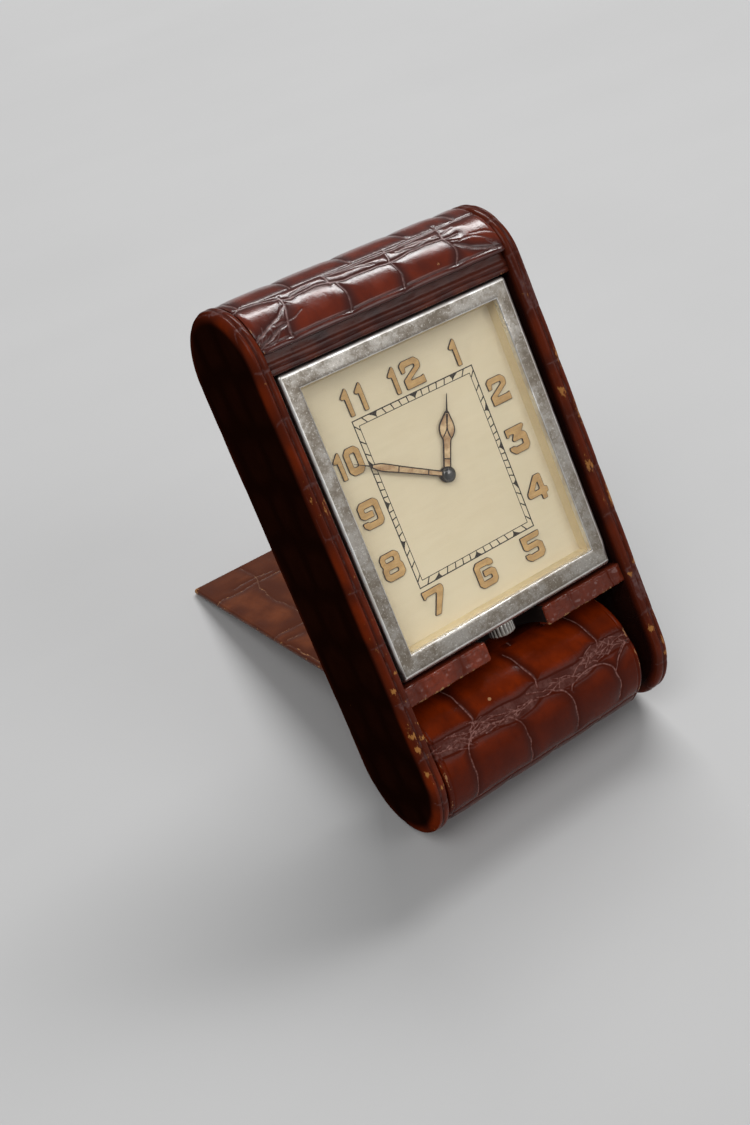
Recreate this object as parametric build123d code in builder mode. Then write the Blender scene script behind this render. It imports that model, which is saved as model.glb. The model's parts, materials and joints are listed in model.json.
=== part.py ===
# Folding travel clock: leather case whose cover swings under it as a foot, and an eight-day movement.
# Modelled upright in millimetres: X to the right, Y to the back, Z up, origin on the cover's hinge axis.
# Each piece is leaned back to the standing pose when it is saved.
import os
from math import asin, atan2, cos, degrees, hypot, pi, radians, sin, sqrt

from build123d import *

os.makedirs("parts", exist_ok=True)

# case
side_radius = 15.3      # radius of the round ends of each cheek
arc_spacing = 92.5      # distance between the centres of a cheek's two round ends
case_width = 70.0
cheek = 3.6             # thickness of a covered cheek
leather = 0.8           # thickness of the case leather
inner_x = case_width / 2 - cheek
cap_radius = side_radius - 0.2
step_z = arc_spacing - 1.5      # lower edge of the strip behind the lip
lip_z = step_z + 3.95           # the closed flap's end stops just under this lip
strip_back = cap_radius - 2.1   # how far the cap's front edge is turned in

# cover: a roll on the hinge axis and a flap that leaves it at a tangent
roll_radius = 14.8
flap_thick = 1.6
skin = 0.7              # thickness of the cover leather
lining = 0.3
flap_reach = lip_z - 0.25
cover_left, cover_right = 0.35 - inner_x, 26.4     # a collar on the right-hand pin fills the rest
cover_middle, cover_half = (cover_left + cover_right) / 2, (cover_right - cover_left) / 2
stand_tilt = 16.7       # flap's angle above the case's rearward direction when it stands
pin_radius = 1.2
bush_radius, bush_length = 2.2, 2.0

# shelf in front of the roll, and the packing frame that stands on it
shelf_front = roll_radius - flap_thick - 0.4
shelf_low = roll_radius + 0.7
frame_low = shelf_low + 5.4
shelf_top = frame_low - 0.9
frame_front, frame_back = 7.5, cap_radius - 2.4

# clock unit, measured from the hinge axis in Z and from the case's middle plane in Y (front is minus)
bezel_w, bezel_h = 2 * inner_x - 2.8, step_z - frame_low - 1.7
dial_z = step_z - 0.8 - bezel_h / 2
band = 4.06
glass_front, glass_back = 12.0, 10.7
dial_front, dial_back = 8.46, 8.06
bezel_front = 12.7
unit_w, unit_h = bezel_w - 1.6, bezel_h - 1.6
can_w, can_h, can_wall = bezel_w - 5.6, bezel_h - 6.0, 0.5
can_rear = -6.0

# movement levels, measured towards the front
plate_radius = 19.0
plate_front, plate_back = 6.5, 5.0
bridge_front, bridge_back = -2.1, -3.1
run_gap = 0.05          # radial clearance of every pivot
stem_f = 6.2

stand_sin, stand_cos = sin(radians(stand_tilt)), cos(radians(stand_tilt))
flap_in = roll_radius - flap_thick
foot_y = flap_reach * stand_cos - flap_in * stand_sin
foot_z = flap_in * stand_cos + flap_reach * stand_sin
lean = degrees(atan2(foot_z, foot_y) + asin(side_radius / hypot(foot_y, foot_z)))
rear_y = flap_reach * stand_cos - roll_radius * stand_sin
rear_z = roll_radius * stand_cos + flap_reach * stand_sin
rear = rear_y * cos(radians(lean)) + rear_z * sin(radians(lean))
back_edge = (roll_radius + cap_radius * stand_sin) / stand_cos + 0.15
standing = Pos(0, (side_radius - rear) / 2, side_radius) * Rot(-lean, 0, 0)

side_plane = Plane.YZ
cover_plane = Plane(origin=(cover_middle, 0, 0), x_dir=(0, stand_cos, stand_sin), z_dir=(1, 0, 0))


def save(piece, label):
    placed = piece.part.moved(standing)
    placed.label = label
    export_step(placed, f"parts/{label}.step")


def level(f):
    # sketch plane parallel to the dial, f in front of the case's middle plane
    return Plane(origin=(0, -f, dial_z), x_dir=(1, 0, 0), z_dir=(0, -1, 0))


def stadium(radius):
    # a cheek's outline, drawn in the current sketch
    with Locations((0, arc_spacing / 2)):
        SlotCenterToCenter(arc_spacing, radius * 2, rotation=90)


def board_outline(radius, steps=12):
    # the same outline with flats instead of arcs, for the board that the leather hides
    turns = [pi * i / steps for i in range(steps + 1)]
    Polygon(*[(radius * cos(a), arc_spacing + radius * sin(a)) for a in turns],
            *[(-radius * cos(a), -radius * sin(a)) for a in turns], align=None)


def flats(radius):
    # hidden round pieces are drawn as polygons, with fewer sides the smaller they are
    return 12 if radius < 1.4 else 24 if radius < 4.0 else 36


def bar(radius, hole=False):
    # outline of a shaft or hole in the current sketch: the shaft's corners and the hole's flats are
    # on the stated radius, so that a shaft always turns free
    mode = Mode.SUBTRACT if hole else Mode.ADD
    RegularPolygon(radius, flats(radius), major_radius=not hole, mode=mode)


def disc(radius, low, high, at=(0, 0), mode=Mode.ADD):
    # boss or hole parallel to the movement's arbors, between two levels
    corner = radius if mode == Mode.ADD else radius / cos(pi / flats(radius))
    with BuildSketch(level(low)) as face:
        with Locations(at):
            bar(corner)
    extrude(face.sketch, amount=high - low, mode=mode)


def teeth(count, module, phase, pinion=False):
    # pointed teeth with enough backlash to turn freely in mesh
    outer = count * module / 2 + (0.6 if pinion else 0.7) * module
    root = count * module / 2 - 1.3 * module
    points = []
    for i in range(count):
        for r, share in ((root, -0.5), (outer, 0)):
            a = phase + (i + share) * 2 * pi / count
            points.append((r * cos(a), r * sin(a)))
    return points


def gear(count, module, phase, low, high, at, pinion=False):
    with BuildSketch(level(low)) as face:
        with Locations(at):
            Polygon(*teeth(count, module, phase, pinion), align=None)
    extrude(face.sketch, amount=high - low)


def mesh_phase(phase, count, at, other_count, other_at):
    # tooth phase of a second gear that puts its gap where the first gear has a tooth
    line = atan2(other_at[1] - at[1], other_at[0] - at[0])
    share = (line - phase) * count / (2 * pi)
    return line + pi - 2 * pi / other_count * (0.5 - share)


def around(at, distance, angle):
    return (at[0] + distance * cos(radians(angle)), at[1] + distance * sin(radians(angle)))


def apex(p, q, from_p, from_q):
    # point at two given distances from p and q, to the right of the line from p to q
    d = hypot(q[0] - p[0], q[1] - p[1])
    along = (from_p**2 - from_q**2 + d**2) / (2 * d)
    off = sqrt(from_p**2 - along**2)
    ux, uy = (q[0] - p[0]) / d, (q[1] - p[1]) / d
    return (p[0] + ux * along + uy * off, p[1] + uy * along - ux * off)


# ---------------------------------------------------------------- cheeks
boards = []
for side, label in ((-1, "left"), (1, "right")):
    middle = side * (case_width / 2 - cheek / 2)
    core_in, core_out = side * (inner_x + leather), side * (case_width / 2 - leather)

    with BuildPart() as core:
        with BuildSketch(side_plane.offset(core_in)):
            board_outline(side_radius - leather)
        extrude(amount=core_out - core_in)

    with BuildPart() as outer_leather:
        with BuildSketch(side_plane.offset(middle)):
            stadium(side_radius)
        extrude(amount=side * cheek / 2)
        rim = outer_leather.faces().sort_by(Axis.X)[-1 if side > 0 else 0].edges()
        chamfer(rim, 1.0)
        add(core.part, mode=Mode.SUBTRACT)

    with BuildPart() as inner_leather:
        with BuildSketch(side_plane.offset(middle)):
            stadium(side_radius)
        extrude(amount=-side * cheek / 2)
        rim = inner_leather.faces().sort_by(Axis.X)[0 if side > 0 else -1].edges()
        chamfer(rim, 0.6)
        add(core.part, mode=Mode.SUBTRACT)
        with BuildSketch(side_plane.offset(side * inner_x)):
            bar(pin_radius)
        extrude(amount=side * leather, mode=Mode.SUBTRACT)

    with core:
        with BuildSketch(side_plane.offset(core_in)):
            bar(pin_radius)
        extrude(amount=side * 1.2, mode=Mode.SUBTRACT)
    boards.append(core.part)
    save(outer_leather, f"{label}_cheek_leather")
    save(inner_leather, f"{label}_cheek_lining")

with BuildPart() as cheek_boards:
    add(boards)
save(cheek_boards, "cheek_boards")

# ---------------------------------------------------------------- cap, back and shelf
with BuildPart() as cap_leather:
    with BuildSketch(side_plane):
        stadium(cap_radius)
        with BuildSketch(mode=Mode.SUBTRACT):
            stadium(cap_radius - leather)
        with Locations((-cap_radius, -cap_radius)):
            Rectangle(cap_radius, lip_z + cap_radius, align=(Align.MIN, Align.MIN), mode=Mode.SUBTRACT)
        with Locations((0, -cap_radius)):
            Rectangle(cap_radius, back_edge + cap_radius, align=(Align.MIN, Align.MIN),
                      mode=Mode.SUBTRACT)
        with Locations((-cap_radius + leather / 2, lip_z)):
            Rectangle(cap_radius - leather / 2 - strip_back, leather, align=(Align.MIN, Align.MIN))
        with Locations((frame_back, back_edge)):
            Rectangle(cap_radius - leather / 2 - frame_back, leather, align=(Align.MIN, Align.MIN))
    extrude(amount=inner_x, both=True)
save(cap_leather, "cap_leather")

with BuildPart() as cap_strip:
    with BuildSketch(side_plane):
        with Locations((-strip_back, step_z)):
            Rectangle(leather, lip_z + leather - step_z, align=(Align.MIN, Align.MIN))
    extrude(amount=inner_x, both=True)
save(cap_strip, "cap_inner_strip")

with BuildPart() as cap_core:
    with BuildSketch(side_plane):
        stadium(cap_radius - leather)
        with Locations((-side_radius, -side_radius)):
            Rectangle(2 * side_radius, step_z + side_radius, align=(Align.MIN, Align.MIN),
                      mode=Mode.SUBTRACT)
        with Locations((-side_radius, step_z)):
            Rectangle(side_radius - strip_back + leather, lip_z + leather - step_z,
                      align=(Align.MIN, Align.MIN), mode=Mode.SUBTRACT)
    extrude(amount=inner_x, both=True)
save(cap_core, "cap_block")

with BuildPart() as back_board:
    with BuildSketch(side_plane):
        with Locations((frame_back, back_edge + leather)):
            Rectangle(cap_radius - leather - frame_back, step_z - back_edge - leather,
                      align=(Align.MIN, Align.MIN))
    extrude(amount=inner_x, both=True)
save(back_board, "back_board")


def notch():
    # finger space around the crown, open to the front
    with BuildSketch(Plane.XY) as face:
        with Locations((0, -9.3)):
            Circle(8.3)
        with Locations((0, -9.3)):
            Rectangle(16.6, 5, align=(Align.CENTER, Align.MAX))
    extrude(face.sketch, amount=30, mode=Mode.SUBTRACT)


with BuildPart() as shelf:
    with BuildSketch(side_plane):
        Polygon((-shelf_front + leather, shelf_low + leather), (2.0, shelf_low + leather),
                (frame_back, frame_low - 0.7), (frame_back, frame_low), (-frame_front, frame_low),
                (-frame_front, shelf_top), (-shelf_front + leather, shelf_top), align=None)
    extrude(amount=inner_x, both=True)
    notch()
save(shelf, "shelf_block")

with BuildPart() as shelf_leather:
    with BuildSketch(side_plane):
        Polygon((-shelf_front, shelf_low), (-0.5, shelf_low), (-0.5, shelf_low + leather),
                (-shelf_front + leather, shelf_low + leather), (-shelf_front + leather, shelf_top),
                (-shelf_front, shelf_top), align=None)
    extrude(amount=inner_x, both=True)
    fillet(shelf_leather.edges().filter_by(Axis.X).sort_by(Axis.Y)[:2], 0.5)
    notch()
save(shelf_leather, "shelf_leather")

# packing frame that holds the clock's can, with a bore for the crown tube
with BuildPart() as packing:
    with BuildSketch(side_plane):
        with Locations((-frame_front, frame_low)):
            Rectangle(frame_front + frame_back, step_z - frame_low, align=(Align.MIN, Align.MIN))
    extrude(amount=inner_x, both=True)
    with BuildSketch(level(frame_front)):
        Rectangle(can_w + 0.2, can_h + 0.2)
    extrude(amount=-frame_front + can_rear - 1.0, mode=Mode.SUBTRACT)
    with BuildSketch(Plane.XY.offset(frame_low)):
        with Locations((0, -stem_f)):
            bar(1.0)
    extrude(amount=dial_z - can_h / 2 - frame_low, mode=Mode.SUBTRACT)
save(packing, "packing_frame")

# ---------------------------------------------------------------- cover
board_low, board_high = flap_in + lining, roll_radius - skin
board_end = flap_reach - skin

with BuildPart() as flap_board:
    with BuildSketch(cover_plane):
        with Locations((0, board_low)):
            Rectangle(board_end, board_high - board_low, align=(Align.MIN, Align.MIN))
    extrude(amount=cover_half - skin, both=True)
save(flap_board, "flap_board")

with BuildPart() as roll_core:
    with BuildSketch(cover_plane):
        RegularPolygon(roll_radius - skin, flats(roll_radius))
        with Locations((0, board_low)):
            Rectangle(roll_radius, roll_radius, align=(Align.MIN, Align.MIN), mode=Mode.SUBTRACT)
    extrude(amount=cover_half - skin, both=True)
    with BuildSketch(side_plane.offset(cover_left)):
        bar(bush_radius)
    extrude(amount=2 * cover_half, mode=Mode.SUBTRACT)
save(roll_core, "roll_core")

lining_start = sqrt(roll_radius**2 - flap_in**2)
with BuildPart() as roll_leather:
    with BuildSketch(cover_plane):
        Circle(roll_radius)
        RegularPolygon(roll_radius - skin, flats(roll_radius), mode=Mode.SUBTRACT)
        with Locations((0, board_low)):
            Rectangle(roll_radius, roll_radius, align=(Align.MIN, Align.MIN), mode=Mode.SUBTRACT)
    extrude(amount=cover_half, both=True)
save(roll_leather, "roll_leather")

with BuildPart() as flap_leather:
    with BuildSketch(cover_plane):
        with Locations((0, flap_in)):
            Rectangle(flap_reach, flap_thick, align=(Align.MIN, Align.MIN))
        RegularPolygon(roll_radius - skin, flats(roll_radius), mode=Mode.SUBTRACT)
        with BuildSketch(mode=Mode.SUBTRACT):
            Circle(roll_radius)
            with Locations((0, board_low)):
                Rectangle(roll_radius, roll_radius, align=(Align.MIN, Align.MIN), mode=Mode.SUBTRACT)
    extrude(amount=cover_half, both=True)
    fillet(flap_leather.edges().filter_by(Axis.X).group_by(Axis.Y)[-1], 0.5)
    add(flap_board.part, mode=Mode.SUBTRACT)
    with BuildSketch(cover_plane):
        with Locations((lining_start + 0.4, flap_in)):
            Rectangle(board_end - 2.5 - lining_start, lining, align=(Align.MIN, Align.MIN))
    extrude(amount=cover_half - 2.4, both=True, mode=Mode.SUBTRACT)
save(flap_leather, "flap_leather")

with BuildPart() as flap_lining:
    with BuildSketch(cover_plane):
        with Locations((lining_start + 0.4, flap_in)):
            Rectangle(board_end - 2.5 - lining_start, lining, align=(Align.MIN, Align.MIN))
    extrude(amount=cover_half - 2.4, both=True)
save(flap_lining, "flap_lining")

pin_start = {-1: cover_left + skin + bush_length, 1: cover_right - skin - bush_length}
with BuildPart() as pins:
    for side, start in pin_start.items():
        with BuildSketch(side_plane.offset(start)):
            bar(pin_radius)
        extrude(amount=side * (inner_x + leather + 1.2) - start)
save(pins, "hinge_pins")

with BuildPart() as bushes:
    for side, start in pin_start.items():
        with BuildSketch(side_plane.offset(start)):
            bar(bush_radius)
            bar(pin_radius + run_gap, hole=True)
        extrude(amount=side * bush_length)
save(bushes, "hinge_bushes")

with BuildPart() as collar:
    with BuildSketch(side_plane.offset(cover_right + 0.1)):
        bar(bush_radius)
        RegularPolygon(pin_radius, flats(pin_radius), mode=Mode.SUBTRACT)
    extrude(amount=inner_x - cover_right - 0.1)
save(collar, "hinge_collar")

# ---------------------------------------------------------------- clock unit
with BuildPart() as bezel:
    with BuildSketch(level(frame_front)):
        RectangleRounded(bezel_w, bezel_h, 0.8)
    extrude(amount=bezel_front - frame_front)
    fillet(bezel.faces().sort_by(Axis.Y)[0].edges(), 0.7)
    with BuildSketch(level(frame_front)):
        Rectangle(unit_w, unit_h)
    extrude(amount=glass_front - frame_front, mode=Mode.SUBTRACT)
    with BuildSketch(level(frame_front)):
        Rectangle(bezel_w - 2 * band, bezel_h - 2 * band)
    extrude(amount=bezel_front, mode=Mode.SUBTRACT)
save(bezel, "bezel")

with BuildPart() as glass:
    with BuildSketch(level(glass_back)):
        Rectangle(unit_w, unit_h)
    extrude(amount=glass_front - glass_back)
save(glass, "crystal")

with BuildPart() as rehaut:
    with BuildSketch(level(dial_front)):
        Rectangle(unit_w, unit_h)
    extrude(amount=glass_back - dial_front)
    with BuildSketch(level(dial_front)):
        Rectangle(bezel_w - 2 * band - 1.2, bezel_h - 2 * band - 1.2)
    with BuildSketch(level(glass_back)):
        Rectangle(bezel_w - 2 * band, bezel_h - 2 * band)
    loft(mode=Mode.SUBTRACT)
save(rehaut, "rehaut")

with BuildPart() as dial:
    with BuildSketch(level(dial_back)):
        Rectangle(unit_w, unit_h)
    extrude(amount=dial_front - dial_back)
    disc(1.75, dial_back, dial_front, mode=Mode.SUBTRACT)
    for at in ((12.6, -12.2), (-12.6, 12.2)):
        disc(0.5, plate_back + 0.3, dial_back, at)
save(dial, "dial")

with BuildPart() as can:
    with BuildSketch(level(can_rear)):
        Rectangle(can_w, can_h)
        Rectangle(can_w - 2 * can_wall, can_h - 2 * can_wall, mode=Mode.SUBTRACT)
    extrude(amount=dial_back - can_rear)
    with BuildSketch(level(frame_front)):
        Rectangle(unit_w, unit_h)
        Rectangle(can_w, can_h, mode=Mode.SUBTRACT)
    extrude(amount=dial_back - frame_front)
    with BuildSketch(Plane.XY.offset(dial_z - can_h / 2 - 1)):
        with Locations((0, -stem_f)):
            bar(1.0)
    extrude(amount=3.0, mode=Mode.SUBTRACT)
save(can, "clock_can")

with BuildPart() as can_back:
    with BuildSketch(level(can_rear - 0.5)):
        Rectangle(can_w, can_h)
    extrude(amount=0.5)
save(can_back, "can_back")

with BuildPart() as crown_tube:
    with BuildSketch(Plane.XY.offset(frame_low)):
        with Locations((0, -stem_f)):
            bar(1.0)
            bar(0.6 + run_gap, hole=True)
    extrude(amount=dial_z - can_h / 2 + 1.2 - frame_low)
save(crown_tube, "crown_tube")

# ---------------------------------------------------------------- train layout (x, y from the centre arbor)
centre_at = (0.0, 0.0)
barrel_at = (-8.4, -5.6)
barrel_module, inter_module, centre_module = 0.32, 0.32, 0.26
third_module, fourth_module, motion_module, hour_module = 0.22, 0.16, 0.30, 0.24
inter_at = apex(centre_at, barrel_at, (40 + 8) * inter_module / 2, (48 + 8) * barrel_module / 2)
third_at = around(centre_at, (48 + 6) * centre_module / 2, 60)
fourth_at = around(third_at, (45 + 6) * third_module / 2, -40)
escape_at = around(fourth_at, (60 + 6) * fourth_module / 2, -60)
pallet_at = around(escape_at, 3.9, -105)
balance_at = around(escape_at, 8.2, -105)
winding_reach = (36 + 24) * barrel_module / 2
crown_wheel_at = (0.0, barrel_at[1] - sqrt(winding_reach**2 - barrel_at[0]**2))
minute_wheel_at = around(centre_at, (8 + 24) * motion_module / 2, 200)

barrel_phase = 0.0
inter_pinion_phase = mesh_phase(barrel_phase, 48, barrel_at, 8, inter_at)
centre_pinion_phase = mesh_phase(0.0, 40, inter_at, 8, centre_at)
third_pinion_phase = mesh_phase(0.0, 48, centre_at, 6, third_at)
fourth_pinion_phase = mesh_phase(0.0, 45, third_at, 6, fourth_at)
escape_pinion_phase = mesh_phase(0.0, 60, fourth_at, 6, escape_at)
ratchet_phase = 0.0
crown_wheel_phase = mesh_phase(ratchet_phase, 36, barrel_at, 24, crown_wheel_at)
cannon_phase = 0.0
minute_wheel_phase = mesh_phase(cannon_phase, 8, centre_at, 24, minute_wheel_at)
hour_wheel_phase = mesh_phase(0.0, 8, minute_wheel_at, 32, centre_at)

arbor_r = {"barrel": 1.0, "centre": 0.55, "inter": 0.5, "third": 0.35, "fourth": 0.3,
           "escape": 0.25, "pallet": 0.25, "balance": 0.3}
arbor_at = {"barrel": barrel_at, "centre": centre_at, "inter": inter_at, "third": third_at,
            "fourth": fourth_at, "escape": escape_at, "pallet": pallet_at, "balance": balance_at}
arbor_low, arbor_high = bridge_front - 0.7, plate_back + 0.7

# pillars: three under the barrel bridge, two under the train bridge, two under the balance cock
pillar_places = ((17.0, 100), (17.6, 180), (17.3, 250), (17.2, 30), (17.4, 355), (17.5, 330), (17.8, 285))


def pivot_holes(names, low, high):
    for name in names:
        disc(arbor_r[name] + run_gap, low, high, arbor_at[name], Mode.SUBTRACT)


# ---------------------------------------------------------------- plates
with BuildPart() as mainplate:
    disc(plate_radius, plate_back, plate_front)
    pivot_holes(arbor_at, plate_back, plate_front)
    with BuildSketch(level(plate_back)):
        with Locations((0, -plate_radius)):
            Rectangle(4.8, plate_radius - 12.9, align=(Align.CENTER, Align.MIN))
        with Locations((0, -12.9)):
            Rectangle(1.4, 1.6, align=(Align.CENTER, Align.MIN))
    extrude(amount=plate_front - plate_back, mode=Mode.SUBTRACT)
    for at in ((12.6, -12.2), (-12.6, 12.2)):
        disc(0.5, plate_back, plate_front, at, Mode.SUBTRACT)
    disc(0.4, plate_front, 7.75, minute_wheel_at)
    disc(0.6, 3.8, plate_back, crown_wheel_at)
    disc(0.4, 3.4, plate_back, around(barrel_at, 7.9, -110))
save(mainplate, "mainplate")

with BuildPart() as pillars:
    for reach, angle in pillar_places:
        disc(0.9, bridge_front, plate_back, around(centre_at, reach, angle))
save(pillars, "plate_pillars")


def bridge(outline, names):
    disc(plate_radius - 0.4, bridge_back, bridge_front)
    with BuildSketch(level(bridge_back)) as face:
        Polygon(*outline, align=None)
    extrude(face.sketch, amount=bridge_front - bridge_back, mode=Mode.INTERSECT)
    pivot_holes(names, bridge_back, bridge_front)


with BuildPart() as barrel_bridge:
    bridge([(1.8, 20), (1.8, -2.5), (-1.5, -5.5), (-3.6, -13), (-3.6, -20), (-20, -20), (-20, 20)],
           ("barrel", "centre", "inter"))
save(barrel_bridge, "barrel_bridge")

with BuildPart() as train_bridge:
    bridge([(2.1, 20), (2.1, -2.4), (5.0, -3.9), (20, -3.9), (20, 20)],
           ("third", "fourth", "escape"))
save(train_bridge, "train_bridge")

with BuildPart() as balance_cock:
    bridge([(4.4, -4.4), (20, -4.4), (20, -20), (3.2, -20)], ("balance",))
save(balance_cock, "balance_cock")

pallet_foot = (13.6, -5.2)
with BuildPart() as pallet_cock:
    with BuildSketch(level(2.4)):
        with BuildLine():
            Line(pallet_at, pallet_foot)
        trace(line_width=1.4)
        with Locations(pallet_at, pallet_foot):
            bar(0.7)
    extrude(amount=0.5)
    disc(0.7, 2.9, plate_back, pallet_foot)
    pivot_holes(("pallet",), 2.4, 2.9)
save(pallet_cock, "pallet_cock")

# ---------------------------------------------------------------- barrel and winding work
with BuildPart() as barrel:
    gear(48, barrel_module, barrel_phase, 0.0, 0.7, barrel_at)
    disc(7.1, 0.7, 3.2, barrel_at)
    disc(6.7, 0.6, 3.2, barrel_at, Mode.SUBTRACT)
    disc(1.0 + run_gap, 0.0, 0.7, barrel_at, Mode.SUBTRACT)
save(barrel, "barrel")

with BuildPart() as barrel_lid:
    disc(7.1, 3.2, 3.6, barrel_at)
    disc(1.0 + run_gap, 3.2, 3.6, barrel_at, Mode.SUBTRACT)
save(barrel_lid, "barrel_lid")


def spiral(inner, outer, turns, width, low, high, at, steps):
    # flat coiled strip
    points = []
    for edge in (-1, 1):
        row = []
        for i in range(steps + 1):
            a = 2 * pi * turns * i / steps
            r = inner + (outer - inner) * i / steps + edge * width / 2
            row.append((at[0] + r * cos(a), at[1] + r * sin(a)))
        points += row if edge < 0 else row[::-1]
    with BuildSketch(level(low)) as face:
        Polygon(*points, align=None)
    extrude(face.sketch, amount=high - low)


with BuildPart() as mainspring:
    spiral(3.6, 6.4, 3, 0.3, 0.8, 3.0, barrel_at, 36)
save(mainspring, "mainspring")

with BuildPart() as barrel_arbor:
    disc(1.0, arbor_low, arbor_high, barrel_at)
    disc(1.9, 0.8, 3.0, barrel_at)
save(barrel_arbor, "barrel_arbor")

with BuildPart() as ratchet:
    gear(36, barrel_module, ratchet_phase, 3.9, 4.6, barrel_at)
    disc(1.0, 3.9, 4.6, barrel_at, Mode.SUBTRACT)
save(ratchet, "ratchet_wheel")

with BuildPart() as crown_wheel:
    gear(24, barrel_module, crown_wheel_phase, 3.9, 4.6, crown_wheel_at)
    disc(0.6 + run_gap, 3.9, 4.6, crown_wheel_at, Mode.SUBTRACT)
save(crown_wheel, "crown_wheel")

click_at = around(barrel_at, 7.9, -110)
with BuildPart() as click:
    with BuildSketch(level(4.0)):
        with Locations(click_at):
            bar(0.9)
        with BuildLine():
            Line(click_at, around(barrel_at, 6.65, -131))
        trace(line_width=0.7)
    extrude(amount=0.5)
    disc(0.4 + run_gap, 4.0, 4.5, click_at, Mode.SUBTRACT)
save(click, "click")

with BuildPart() as click_spring:
    spring_end = around(barrel_at, 7.9, -150)
    with BuildSketch(level(4.1)):
        with BuildLine():
            Line(around(barrel_at, 7.75, -127), spring_end)
        trace(line_width=0.25)
        with Locations(spring_end):
            bar(0.6)
    extrude(amount=0.3)
    disc(0.35, 4.1, plate_back, spring_end)
save(click_spring, "click_spring")

with BuildPart() as stem:
    with BuildSketch(Plane.XY.offset(frame_low - 0.3)):
        with Locations((0, -stem_f)):
            bar(0.6)
    extrude(amount=dial_z - 11.8 - frame_low + 0.3)
    with BuildSketch(Plane.XY.offset(dial_z - 18.5)):
        with Locations((0, -stem_f)):
            bar(0.7)
            bar(0.35, hole=True)
    extrude(amount=0.8, mode=Mode.SUBTRACT)
save(stem, "stem")

with BuildPart() as winding_pinion:
    with BuildSketch(Plane.XY.offset(dial_z - 15.2)):
        with Locations((0, -stem_f)):
            Polygon(*teeth(12, 0.22, 0.0, True), align=None)
            bar(0.6, hole=True)
    extrude(amount=1.2)
save(winding_pinion, "winding_pinion")

with BuildPart() as yoke:
    with BuildSketch(Plane.XY.offset(dial_z - 18.35)):
        with Locations((0, -stem_f + 0.6)):
            Rectangle(4.2, 2.2)
        with Locations((0, -stem_f)):
            bar(0.35 / cos(pi / 12) + run_gap, hole=True)
            Rectangle(0.8, 3.0, align=(Align.CENTER, Align.MAX), mode=Mode.SUBTRACT)
    extrude(amount=0.5)
save(yoke, "stem_yoke")

crown_r, crown_h, flutes = 3.3, 3.3, 20
with BuildPart() as crown:
    with BuildSketch(Plane.XY.offset(frame_low - 0.3 - crown_h)):
        with Locations((0, -stem_f)):
            Polygon(*[((crown_r - 0.3 * (i % 2)) * cos(pi * i / flutes),
                       (crown_r - 0.3 * (i % 2)) * sin(pi * i / flutes)) for i in range(2 * flutes)],
                    align=None)
    extrude(amount=crown_h)
    chamfer(crown.faces().sort_by(Axis.Z)[0].edges(), 0.4)
save(crown, "crown")

# ---------------------------------------------------------------- going train
with BuildPart() as inter_wheel:
    gear(40, inter_module, 0.0, -0.9, -0.4, inter_at)
    gear(8, barrel_module, inter_pinion_phase, -0.4, 0.95, inter_at, True)
    disc(arbor_r["inter"], arbor_low, arbor_high, inter_at)
save(inter_wheel, "intermediate_wheel")

with BuildPart() as centre_wheel:
    gear(48, centre_module, 0.0, -1.7, -1.2, centre_at)
    gear(8, inter_module, centre_pinion_phase, -1.2, -0.1, centre_at, True)
    disc(arbor_r["centre"], arbor_low, 9.9, centre_at)
save(centre_wheel, "centre_wheel")

with BuildPart() as third_wheel:
    gear(45, third_module, 0.0, 1.0, 1.5, third_at)
    gear(6, centre_module, third_pinion_phase, -1.85, -1.05, third_at, True)
    disc(arbor_r["third"], arbor_low, arbor_high, third_at)
save(third_wheel, "third_wheel")

with BuildPart() as fourth_wheel:
    gear(60, fourth_module, 0.0, 2.4, 2.8, fourth_at)
    gear(6, third_module, fourth_pinion_phase, 0.8, 1.7, fourth_at, True)
    disc(arbor_r["fourth"], arbor_low, arbor_high, fourth_at)
save(fourth_wheel, "fourth_wheel")

with BuildPart() as escape_wheel:
    with BuildSketch(level(3.6)):
        with Locations(escape_at):
            Polygon(*[(r * cos(2 * pi * (i + s) / 15), r * sin(2 * pi * (i + s) / 15))
                      for i in range(15) for r, s in ((2.2, 0.0), (3.0, 0.62), (3.0, 0.7), (2.2, 0.75))],
                    align=None)
    extrude(amount=0.3)
    gear(6, fourth_module, escape_pinion_phase, 2.1, 3.1, escape_at, True)
    disc(arbor_r["escape"], arbor_low, arbor_high, escape_at)
save(escape_wheel, "escape_wheel")

with BuildPart() as pallet_fork:
    with BuildSketch(level(3.6)):
        with BuildLine():
            Line(pallet_at, around(pallet_at, 3.3, -105))
        trace(line_width=0.6)
        with BuildLine():
            Line(around(pallet_at, 2.9, 165), around(pallet_at, 2.9, -15))
        trace(line_width=0.7)
        for side in (-1, 1):
            tip = around(escape_at, 3.2, -105 + side * 54)
            heel = around(pallet_at, 2.75, -105 + side * 90)
            with BuildLine():
                Line(heel, tip)
            trace(line_width=0.5)
            with BuildLine():
                Line(around(pallet_at, 3.0, -105), around(pallet_at, 3.75, -105 + side * 11))
            trace(line_width=0.35)
        with Locations(pallet_at):
            bar(0.8)
        with Locations(escape_at):
            bar(3.15, hole=True)
    extrude(amount=0.3)
    disc(arbor_r["pallet"], 2.5, arbor_high, pallet_at)
save(pallet_fork, "pallet_fork")

with BuildPart() as balance:
    with BuildSketch(level(0.0)):
        with Locations(balance_at):
            bar(5.0)
            bar(4.3, hole=True)
            Rectangle(9.0, 0.7)
            bar(0.9)
    extrude(amount=0.6)
    disc(arbor_r["balance"], arbor_low, arbor_high, balance_at)
    disc(0.9, 3.0, 3.2, balance_at)
    disc(0.15, 3.2, 3.45, around(balance_at, 0.7, 75))
save(balance, "balance_wheel")

with BuildPart() as hairspring:
    spiral(0.8, 2.9, 3, 0.12, -0.7, -0.45, balance_at, 32)
    disc(0.3, bridge_front, -0.45, around(balance_at, 2.9, 0))
save(hairspring, "hairspring")

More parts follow.
